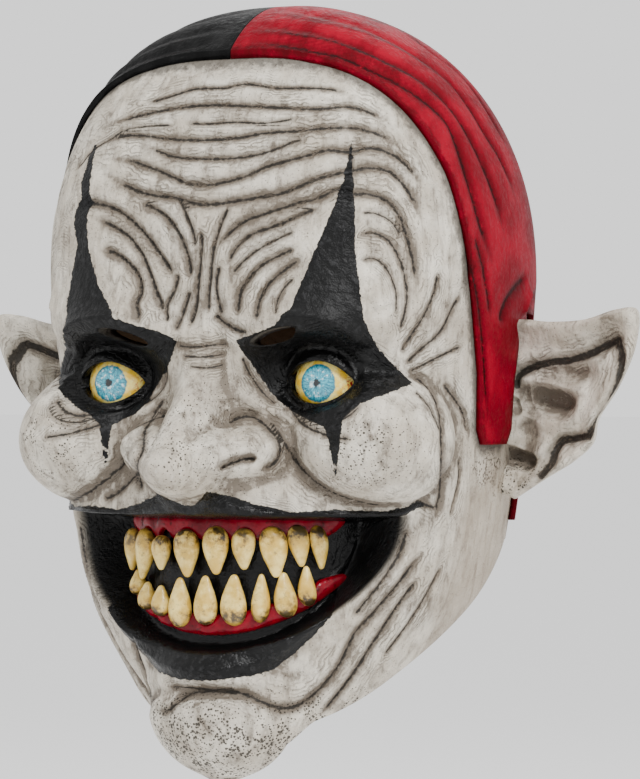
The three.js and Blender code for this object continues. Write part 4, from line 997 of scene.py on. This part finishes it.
def tooth_piece(name, row, seed, material, node):
    across, root, point, wide, lean = row
    draw = np.random.default_rng(seed)
    length = (point - root) * LIP_HEIGHT
    half = wide * TOOTH_WIDTH / 2 * 1.1
    deep = min(TOOTH_DEPTH / 2, half)
    line = resampled([(h, d) for d, h in TOOTH_PROFILE], 0.04)
    ring = line[1:-1]
    turn = np.arange(28) / 28 * 2 * np.pi
    lump = 1 + 0.035 * np.sin(turn * 2 + draw.uniform(0, 6))[None]
    lump = lump + 0.03 * np.sin(turn * 3 + draw.uniform(0, 6))[None]
    h, d = np.clip(ring[:, :1], 0.02, 1), ring[:, 1:2]
    x = h * half * np.cos(turn)[None] * lump
    y = h * deep * np.sin(turn)[None] * lump
    z = -d * length + 0 * x
    bend = draw.uniform(-0.5, 0.5) * np.sin(d * np.pi)
    local = np.stack([x + bend, y, z], -1)
    ends = np.array([[0, 0, 0], [0, 0, -length]])
    px, py, face = arch_point(across, SEAM_GAP + TOOTH_DEPTH / 2)
    tilt = math.radians(lean) * math.copysign(1, across) * math.copysign(1, point - root)

    def placed(q):
        qx = q[..., 0] * math.cos(tilt) + q[..., 2] * math.sin(tilt)
        qz = -q[..., 0] * math.sin(tilt) + q[..., 2] * math.cos(tilt)
        qy = q[..., 1]
        x, y = qx * math.cos(face) - qy * math.sin(face), qx * math.sin(face) + qy * math.cos(face)
        return np.stack([x + px, y + py, qz - MOUTH_DROP - root * LIP_HEIGHT], -1)

    obj = outward(closed_skin(name, placed(local), placed(ends[0]), placed(ends[1])))
    down = np.concatenate([[0], np.repeat(d[:, 0], 28), [1]])
    store(obj, down=down, tint=np.full(len(down), draw.uniform(0, 1)))
    return piece(obj, material, node)


def gum_piece(jaw, teeth, material):
    """A rounded bar along the arch, with an edge that dips between the teeth."""
    size = GUMS[jaw]
    middles = [arch_point(row[0], 4.0) for row in teeth.values()]
    centres = [(math.atan2(x, -y), row) for (x, y, _), row in zip(middles, teeth.values())]
    around = np.linspace(0, np.pi, 15)
    rings = []
    for share in np.linspace(-1, 1, 161):
        angle = share * math.radians(GUM_HALF_ANGLE)
        level = size["rise"] * share * share - size["drop"]
        bump = 0.0
        for at, row in centres:
            width = row[3] * TOOTH_WIDTH / 2 / 76
            bump = max(bump, 1 - min(abs(angle - at) / width, 1) ** 2)
        end = math.sqrt(min(1.0, (1 - abs(share)) / GUM_TAPER + 0.01))
        tall = (size["height"] + size["over"] - GUM_SCALLOP * bump) * end
        thick = (GUM_THICK + 0.7 * bump) * (0.15 + 0.85 * end)
        out = arch_radius(np.array([angle]))[0] + 0.1 + thick * np.sin(around) ** 0.6
        fall = tall * (1 - np.cos(around)) / 2
        z = level - fall if jaw == "upper" else level - size["height"] + fall
        rings.append(np.stack([out * math.sin(angle), -out * math.cos(angle), z], -1))
    rings = np.array(rings)
    obj = outward(closed_skin(f"gum_{jaw}", rings, rings[0].mean(axis=0), rings[-1].mean(axis=0)))
    return piece(obj, material, f"{jaw}_gum")


# Materials
# Colours, linear: the chalky skin, its wash, ink and painted shade, the inside in painted shade, the cap,
# eyes, teeth and gums
# painted shade in hollows and folds, mixed with a wash of grime
WASH_AND_SHADE = (0.13, 0.105, 0.08)
CHALK_DARK = (0.50, 0.445, 0.36)
CHALK_LIGHT = (0.72, 0.67, 0.57)
BLOTCH = (0.40, 0.35, 0.29)
DRY_CHALK = (0.76, 0.73, 0.67)
# near black at the bottom of each fold: painted shade, partly ink
CREASE_INK_AND_SHADE = (0.012, 0.010, 0.008)
# painted shade in the troughs of fine wrinkles
WRINKLE_SHADE = (0.14, 0.11, 0.08)
# painted shade in the pits of the pores
PORE_SHADE = (0.022, 0.018, 0.013)
SPECK = (0.12, 0.10, 0.08)
# painted shade under the jaw and towards the back of the neck
NECK_SHADE = (0.28, 0.22, 0.16)
# the skin darker next to the cap's edge
CAP_SIDE_DARK = (0.05, 0.043, 0.036)
# the inside's brown latex, darkened as painted shade
INNER_SHADE_DARK = (0.11, 0.065, 0.035)
INNER_SHADE_LIGHT = (0.17, 0.11, 0.06)
# near black inside round the eyes: painted shade
SOCKET_SHADE = (0.02, 0.006, 0.004)
INK_WET = (0.0022, 0.0022, 0.0022)
INK_DRY = (0.022, 0.022, 0.023)
# near black in the cap's creases: painted shade, partly ink
CAP_CREASE_SHADE = (0.004, 0.001, 0.001)
# the cap's inside, darkened as painted shade
CAP_INNER_SHADE = (0.10, 0.06, 0.035)
IRIS_DARK = (0.006, 0.16, 0.24)
IRIS_LIGHT = (0.09, 0.50, 0.62)
IRIS_BLOT = (0.78, 0.88, 0.88)
IRIS_RIM = (0.01, 0.14, 0.20)
PUPIL = (0.004, 0.006, 0.008)
EYE_YELLOW = (0.88, 0.55, 0.03)
EYE_PALE = (1.0, 0.88, 0.30)
VEIN = (0.45, 0.02, 0.015)
EYE_RED_RIM = (0.45, 0.015, 0.012)
TOOTH_DARK = (0.58, 0.37, 0.05)
TOOTH_LIGHT = (0.88, 0.68, 0.22)
TOOTH_ROOT = (0.40, 0.22, 0.03)
# near black at the root end
TOOTH_ROOT_BLACK = (0.012, 0.007, 0.003)
TOOTH_SPECK = (0.09, 0.06, 0.03)
TOOTH_STAIN = (0.62, 0.38, 0.05)
TOOTH_TINT = (0.5, 0.36, 0.12)
GUM_DARK = (0.11, 0.0, 0.005)
GUM_LIGHT = (0.22, 0.0, 0.010)
GUM_BLOT = (0.03, 0.0, 0.0)


class Paint:
    """A procedural material, built from small node calls."""

    def __init__(self, name):
        self.material = bpy.data.materials.new(name)
        self.material.use_nodes = True
        self.tree = self.material.node_tree
        self.shader = self.tree.nodes["Principled BSDF"]
        self.place = self.add("ShaderNodeTexCoord").outputs["Object"]

    def add(self, kind, **values):
        node = self.tree.nodes.new(kind)
        for key, value in values.items():
            setattr(node, key, value)
        return node

    def put(self, socket, value):
        if isinstance(value, bpy.types.NodeSocket):
            self.tree.links.new(value, socket)
        elif isinstance(value, tuple) and len(value) == 3 and socket.type == "RGBA":
            socket.default_value = (*value, 1)
        else:
            socket.default_value = value

    def set(self, **values):
        for key, value in values.items():
            self.put(self.shader.inputs[key.replace("_", " ")], value)

    def field(self, name):
        return self.add("ShaderNodeAttribute", attribute_name=name).outputs["Fac"]

    def near_line(self):
        """The distance to the nearest fold line, which stays crisp between the mesh's points."""
        past = self.math("SUBTRACT", self.field("crease"), 1.0)
        return self.math("MAXIMUM", self.math("ABSOLUTE", self.field("beside")), past)

    def vector_field(self, name):
        return self.add("ShaderNodeAttribute", attribute_name=name).outputs["Vector"]

    def math(self, operation, a, b=0.0, c=0.0):
        node = self.add("ShaderNodeMath", operation=operation)
        for socket, value in zip(node.inputs, (a, b, c)):
            self.put(socket, value)
        return node.outputs[0]

    def ramp(self, value, low, high, first=0.0, last=1.0):
        node = self.add("ShaderNodeMapRange", interpolation_type="SMOOTHSTEP")
        for socket, number in zip(node.inputs, (value, low, high, first, last)):
            self.put(socket, number)
        return node.outputs[0]

    def between(self, a, b, share):
        """A number between a and b."""
        return self.math("ADD", a, self.math("MULTIPLY", self.math("SUBTRACT", b, a), share))

    def mix(self, share, a, b, blend="MIX"):
        node = self.add("ShaderNodeMix", data_type="RGBA", blend_type=blend)
        self.put(node.inputs[0], share)
        self.put(node.inputs[6], a)
        self.put(node.inputs[7], b)
        return node.outputs[2]

    def stretched(self, x, y, z):
        node = self.add("ShaderNodeMapping")
        self.put(node.inputs["Vector"], self.place)
        node.inputs["Scale"].default_value = (x, y, z)
        return node.outputs[0]

    def noise(self, scale, detail=4.0, rough=0.55, vector=None, warp=0.0):
        node = self.add("ShaderNodeTexNoise")
        self.put(node.inputs["Vector"], vector or self.place)
        node.inputs["Scale"].default_value = scale
        node.inputs["Detail"].default_value = detail
        node.inputs["Roughness"].default_value = rough
        node.inputs["Distortion"].default_value = warp
        return node.outputs[0]

    def cells(self, scale, feature="F1", random=1.0):
        node = self.add("ShaderNodeTexVoronoi", feature=feature)
        self.put(node.inputs["Vector"], self.place)
        node.inputs["Scale"].default_value = scale
        node.inputs["Randomness"].default_value = random
        return node

    def bump(self, height, distance, strength=1.0, under=None):
        node = self.add("ShaderNodeBump")
        node.inputs["Strength"].default_value = strength
        node.inputs["Distance"].default_value = distance
        self.put(node.inputs["Height"], height)
        if under:
            self.put(node.inputs["Normal"], under)
        return node.outputs[0]


def skin_paint():
    m = Paint("painted_skin")
    crease, low, broad = m.field("crease"), m.field("low"), m.field("broad")
    mottle = m.noise(60, 5, 0.6)
    fine = m.noise(420, 4, 0.65)
    grit = m.noise(1400, 2, 0.6)
    color = m.mix(m.ramp(mottle, 0.35, 0.68), CHALK_DARK, CHALK_LIGHT)
    color = m.mix(m.ramp(m.noise(22, 3), 0.5, 0.75, 0, 0.45), color, BLOTCH)
    color = m.mix(m.ramp(fine, 0.55, 0.8, 0, 0.5), color, DRY_CHALK)
    # wash left in folds and hollows, partly painted shade: darker with the hollow guides low, broad and fold,
    # and with random streaks of grime
    wash_and_shade = m.math("ADD", m.ramp(low, 0.0, 0.9, 0, 0.6), m.ramp(broad, 0.2, 3.0, 0, 0.4))
    wash_and_shade = m.math("ADD", wash_and_shade, m.ramp(m.field("fold"), 0.1, 1.8, 0, 0.7))
    wash_and_shade = m.math("ADD", wash_and_shade, m.ramp(m.noise(45, 5, 0.7), 0.40, 0.68, 0, 0.42))
    streaks = m.noise(150, 5, 0.65, m.stretched(1.5, 1.5, 0.35), 0.6)
    wash_and_shade = m.math("ADD", wash_and_shade, m.ramp(streaks, 0.43, 0.66, 0, 0.62))
    wash_and_shade = m.math("MULTIPLY", wash_and_shade, m.ramp(m.noise(240, 5, 0.7), 0.3, 0.66, 0.25, 1.1))
    color = m.mix(m.math("MINIMUM", wash_and_shade, 0.92), color, WASH_AND_SHADE)
    # painted shade along the fold lines: a soft dark halo, and a near black line at each crease's bottom,
    # partly ink
    line = m.math("ADD", m.near_line(), m.ramp(fine, 0.3, 0.7, -0.25, 0.35))
    color = m.mix(m.ramp(line, 3.2, 0.3, 0, 0.6), color, WASH_AND_SHADE)
    color = m.mix(m.ramp(line, 0.78, 0.22, 0, 0.92), color, CREASE_INK_AND_SHADE)
    # fine wrinkles beside the folds, cut in by the bump and darkened in their troughs as painted shade
    waver = m.math("ADD", m.math("MULTIPLY", crease, 4.2), m.math("MULTIPLY", m.noise(130, 4), 26.0))
    ripple = m.math("SINE", waver)
    near = m.math("MULTIPLY", m.ramp(crease, 12.0, 3.0), m.ramp(m.noise(110, 2), 0.40, 0.66))
    near = m.math("MULTIPLY", near, m.math("SUBTRACT", 1.0, m.field("pores")))
    wrinkle_trough = m.math("MULTIPLY", m.ramp(ripple, 0.2, 0.98), near)
    color = m.mix(m.math("MULTIPLY", wrinkle_trough, 0.55), color, WRINKLE_SHADE)
    # pores, pitted by the bump and painted near black in the pits as painted shade
    cell = m.cells(980)
    size = m.add("ShaderNodeSeparateColor")
    m.put(size.inputs[0], cell.outputs["Color"])
    pore_here = m.math("MULTIPLY", m.field("pores"), m.ramp(m.noise(95, 3), 0.34, 0.58))
    limit = m.math("MULTIPLY", m.math("MULTIPLY", size.outputs[0], 0.52), m.math("ADD", pore_here, 0.34))
    pore = m.ramp(m.math("SUBTRACT", cell.outputs["Distance"], limit), 0.05, -0.03)
    color = m.mix(m.math("MULTIPLY", pore, 0.9), color, PORE_SHADE)
    speck = m.ramp(m.noise(900, 2, 0.5), 0.62, 0.72)
    color = m.mix(m.math("MULTIPLY", speck, 0.4), color, SPECK)
    # neck, and the dark spray beside the cap
    # the skin darker within a few millimetres of the cap's edge
    cap = m.field("cap")
    by_cap = m.math("ADD", cap, m.ramp(m.noise(300, 4, 0.7), 0.3, 0.7, -1.2, 1.4))
    color = m.mix(m.ramp(by_cap, 5.5, 0.8, 0, 0.8), color, CAP_SIDE_DARK)
    # painted shade under the jaw and towards the back of the neck
    color = m.mix(m.ramp(m.field("neck"), 0.0, 1.0, 0, 0.62), color, NECK_SHADE)
    # inside of the latex: brown, darkened as painted shade, and near black as painted shade round the eyes
    inner = m.mix(mottle, INNER_SHADE_DARK, INNER_SHADE_LIGHT)
    inner = m.mix(m.ramp(m.field("eye"), 60.0, 45.0), inner, SOCKET_SHADE)
    color = m.mix(m.field("inside"), color, inner)
    # black paint round the eyes and on the lips
    ragged = m.ramp(fine, 0.3, 0.7, -0.35, 0.35)
    eyes = m.ramp(m.math("ADD", m.field("paint"), ragged), -0.45, -0.15)
    lips = m.ramp(m.math("ADD", m.field("lips"), ragged), -0.35, -0.05)
    black = m.math("MAXIMUM", eyes, lips)
    black = m.math("MAXIMUM", black, m.ramp(m.field("mouth"), -2.0, -1.0))
    black = m.math("MAXIMUM", black, m.ramp(m.field("eye"), 6.0, 4.5))
    black = m.math("MULTIPLY", black, m.math("SUBTRACT", 1.0, m.field("inside")))
    dry = m.math("MULTIPLY", m.ramp(fine, 0.48, 0.75, 0, 0.8), m.ramp(m.field("eye"), 5.0, 14.0))
    dry = m.math("MULTIPLY", dry, m.ramp(m.field("mouth"), 0.0, -4.0))
    ink = m.mix(dry, INK_WET, INK_DRY)
    color = m.mix(black, color, ink)
    rough = m.ramp(mottle, 0.3, 0.7, 0.5, 0.62)
    wet = m.math("MAXIMUM", m.ramp(m.field("eye"), 9.0, 4.0), m.ramp(m.field("lips"), -0.2, 0.6))
    rough = m.between(rough, m.ramp(wet, 0, 1, 0.42, 0.22), black)
    height = m.math("ADD", m.math("MULTIPLY", fine, 0.35), m.math("MULTIPLY", grit, 0.12))
    height = m.math("SUBTRACT", height, m.math("MULTIPLY", pore, 0.5))
    height = m.math("SUBTRACT", height, m.math("MULTIPLY", wrinkle_trough, 0.5))
    height = m.math("ADD", height, m.math("MULTIPLY", m.noise(170, 3), 0.8))
    m.set(Base_Color=color, Roughness=rough, Specular_IOR_Level=0.2, Normal=m.bump(height, 0.0013, 0.9))
    return m.material


def cap_paint(name, light, dark, deep, dust):
    m = Paint(name)
    streak = m.noise(70, 4, 0.6, m.stretched(1.6, 0.5, 0.5))
    fine = m.noise(500, 4, 0.6)
    color = m.mix(m.ramp(streak, 0.36, 0.66), dark, light)
    # painted shade in the cap's folds: the deep colour in a halo and a near black line in each crease, partly
    # ink
    crease = m.math("ADD", m.near_line(), m.ramp(fine, 0.3, 0.7, -0.4, 0.5))
    color = m.mix(m.ramp(crease, 5.0, 0.3, 0, 0.7), color, deep)
    color = m.mix(m.ramp(crease, 1.3, 0.3, 0, 0.8), color, CAP_CREASE_SHADE)
    # painted shade: the cap darker towards the back
    color = m.mix(m.ramp(m.field("behind"), -40, 60, 0, 0.35), color, deep)
    edge = m.math("ADD", m.field("edge"), m.ramp(m.noise(180, 3), 0.3, 0.7, -1.5, 1.5))
    color = m.mix(m.ramp(edge, 2.6, 0.2, 0, 0.55), color, deep)
    color = m.mix(m.math("MULTIPLY", m.ramp(fine, 0.6, 0.78), m.ramp(streak, 0.4, 0.62)), color, dust)
    # the cap's inside, dark brown as painted shade
    color = m.mix(m.field("inside"), color, CAP_INNER_SHADE)
    height = m.math("ADD", m.math("MULTIPLY", m.noise(230, 4, 0.6), 0.9), m.math("MULTIPLY", fine, 0.3))
    m.set(Base_Color=color, Roughness=m.ramp(fine, 0.3, 0.7, 0.45, 0.62), Specular_IOR_Level=0.06,
          Normal=m.bump(height, 0.0012, 0.8))
    return m.material


def eye_paint_material():
    m = Paint("painted_eye")
    local = m.vector_field("local")
    split = m.add("ShaderNodeSeparateXYZ")
    m.put(split.inputs[0], local)
    x, z = split.outputs[0], split.outputs[2]
    away = m.math("SQRT", m.math("ADD", m.math("MULTIPLY", x, x), m.math("MULTIPLY", z, z)))
    turn = m.math("ARCTAN2", z, x)
    spokes = m.add("ShaderNodeCombineXYZ")
    m.put(spokes.inputs[0], m.math("MULTIPLY", m.math("SINE", turn), 3.0))
    m.put(spokes.inputs[1], m.math("MULTIPLY", m.math("COSINE", turn), 3.0))
    m.put(spokes.inputs[2], m.math("MULTIPLY", away, 0.18))
    rays = m.noise(4.2, 5, 0.7, spokes.outputs[0])
    blot = m.noise(520, 3, 0.6)
    iris = m.mix(m.ramp(rays, 0.42, 0.6), IRIS_DARK, IRIS_LIGHT)
    iris = m.mix(m.ramp(blot, 0.55, 0.68, 0, 0.85), iris, IRIS_BLOT)
    iris = m.mix(m.ramp(away, 5.6, 7.2, 0, 0.75), iris, IRIS_RIM)
    pupil = m.math("ADD", away, m.ramp(blot, 0.3, 0.7, -0.4, 0.5))
    iris = m.mix(m.ramp(pupil, 2.1, 1.2), iris, PUPIL)
    white = m.mix(m.ramp(m.noise(260, 3), 0.35, 0.65), EYE_YELLOW, EYE_PALE)
    veins = m.ramp(m.math("ABSOLUTE", m.math("SUBTRACT", m.noise(300, 3, 0.6, warp=1.2), 0.5)), 0.03, 0.005)
    veins = m.math("MULTIPLY", veins, m.ramp(away, 7.5, 12))
    white = m.mix(veins, white, VEIN)
    white = m.mix(m.ramp(away, 12.6, 13.8, 0, 0.8), white, EYE_RED_RIM)
    rim = m.math("ADD", away, m.ramp(blot, 0.3, 0.7, -0.25, 0.25))
    color = m.mix(m.ramp(rim, 7.0, 7.5), iris, white)
    m.set(Base_Color=color, Roughness=0.2, Coat_Weight=0.6, Coat_Roughness=0.04)
    return m.material


def tooth_paint():
    m = Paint("stained_tooth")
    down, tint = m.field("down"), m.field("tint")
    stain = m.noise(190, 4, 0.65)
    color = m.mix(m.ramp(stain, 0.35, 0.7), TOOTH_DARK, TOOTH_LIGHT)
    root = m.math("ADD", down, m.ramp(stain, 0.3, 0.7, -0.2, 0.2))
    color = m.mix(m.ramp(root, 0.5, 0.06, 0, 0.85), color, TOOTH_ROOT)
    # near black at the root end of each tooth
    color = m.mix(m.ramp(root, 0.25, 0.08, 0, 0.95), color, TOOTH_ROOT_BLACK)
    specks = m.ramp(m.noise(650, 3, 0.6), 0.58, 0.68)
    color = m.mix(m.math("MULTIPLY", specks, m.ramp(root, 0.9, 0.1, 0.25, 0.75)), color, TOOTH_SPECK)
    color = m.mix(m.math("MULTIPLY", m.ramp(m.noise(130, 2), 0.48, 0.66), 0.7), color, TOOTH_STAIN)
    color = m.mix(m.math("MULTIPLY", tint, 0.12), color, TOOTH_TINT)
    m.set(Base_Color=color, Roughness=0.3, Coat_Weight=0.25, Coat_Roughness=0.1,
          Normal=m.bump(m.noise(380, 3), 0.0004, 0.6))
    return m.material


def gum_paint():
    m = Paint("painted_gum")
    blot = m.noise(160, 4, 0.6)
    color = m.mix(m.ramp(blot, 0.35, 0.65), GUM_DARK, GUM_LIGHT)
    color = m.mix(m.ramp(m.noise(420, 3), 0.56, 0.7, 0, 0.75), color, GUM_BLOT)
    m.set(Base_Color=color, Roughness=0.25, Specular_IOR_Level=0.15, Coat_Weight=0.12, Coat_Roughness=0.1,
          Normal=m.bump(m.noise(330, 3), 0.0007, 0.7))
    return m.material


skin_material = skin_paint()
piece(skin, skin_material, "face_shell")
for name, side in (("ear_left_skin", 1), ("ear_right_skin", -1)):
    ear_piece(name, side, skin_material)
bpy.data.objects.remove(face_block)
cap_piece("cap_red_shell", 1, cap_paint("painted_red", (0.28, 0.0, 0.014), (0.155, 0.0, 0.007),
          (0.03, 0.0, 0.001), (0.33, 0.004, 0.02)))
cap_piece("cap_black_shell", -1, cap_paint("painted_black", (0.012, 0.012, 0.012), (0.005, 0.005, 0.005),
          (0.002, 0.002, 0.002), (0.045, 0.045, 0.046)))

eye_material = eye_paint_material()
for name, centre in EYE_CENTRES.items():
    eye = eye_cap("eyeball_" + name, centre, EYE_RADIUS, eye_back, 72, 36)
    local = points_of(eye) - centre
    store_vector(eye, "local", local)
    piece(eye, eye_material, "eye_" + name)

tooth_material = tooth_paint()
gum_material = gum_paint()
for jaw, rows in (("upper", UPPER_TEETH), ("lower", LOWER_TEETH)):
    for number, (name, row) in enumerate(rows.items()):
        seed = number + (20 if jaw == "lower" else 0)
        tooth_piece(f"tooth_{jaw}_{name}", row, seed, tooth_material, f"{jaw}_tooth_{name}")
for jaw, rows in (("upper", UPPER_TEETH), ("lower", LOWER_TEETH)):
    gum_piece(jaw, rows, gum_material)

# Floor, lights and camera
floor_paint = Paint("floor")
floor_paint.set(Base_Color=(0.93, 0.93, 0.93), Roughness=1.0, Specular_IOR_Level=0.0)
FLOOR_DROP, FLOOR_REACH, WORLD_STRENGTH = 480.0, 40000.0, 1.3
corners = [(x, y, -FLOOR_DROP) for x, y in ((-1, -1), (1, -1), (1, 1), (-1, 1))]
floor = new_object("floor", np.array(corners) * [FLOOR_REACH, FLOOR_REACH, 1], [[0, 1, 2, 3]])
floor.data.materials.append(floor_paint.material)

world = bpy.data.worlds.new("studio")
bpy.context.scene.world = world
world.use_nodes = True
background = world.node_tree.nodes["Background"]
background.inputs["Color"].default_value = (1, 1, 1, 1)
background.inputs["Strength"].default_value = WORLD_STRENGTH


# turn and lift in degrees, distance and size in metres, power in watts
LIGHTS = {
    "key": (40, 42, 1.5, 0.45, 20),
    "fill": (85, 10, 1.7, 0.8, 2),
    "behind": (200, 40, 1.7, 0.8, 5),
}


def soft_light(name, turn, lift, distance, size, power):
    light = bpy.data.lights.new(name, "AREA")
    light.energy, light.shape, light.size = power, "DISK", size
    obj = bpy.data.objects.new(name, light)
    bpy.context.scene.collection.objects.link(obj)
    turn, lift = math.radians(turn), math.radians(lift)
    centre = Vector(VIEW_TARGET) * MM
    level = math.cos(lift)
    toward = Vector((math.sin(turn) * level, -math.cos(turn) * level, math.sin(lift)))
    obj.location = centre + distance * toward
    obj.rotation_euler = (centre - obj.location).to_track_quat("-Z", "Y").to_euler()


for name, row in LIGHTS.items():
    soft_light(name, *row)

camera = bpy.data.objects.new("camera", bpy.data.cameras.new("camera"))
bpy.context.scene.collection.objects.link(camera)
camera.data.lens, camera.data.sensor_width = LENS, SENSOR
camera.data.clip_start, camera.data.clip_end = 0.05, 50
camera.location = Vector(camera_place) * MM
camera.rotation_euler = (math.pi / 2, 0, VIEW_TURN)
bpy.context.scene.camera = camera
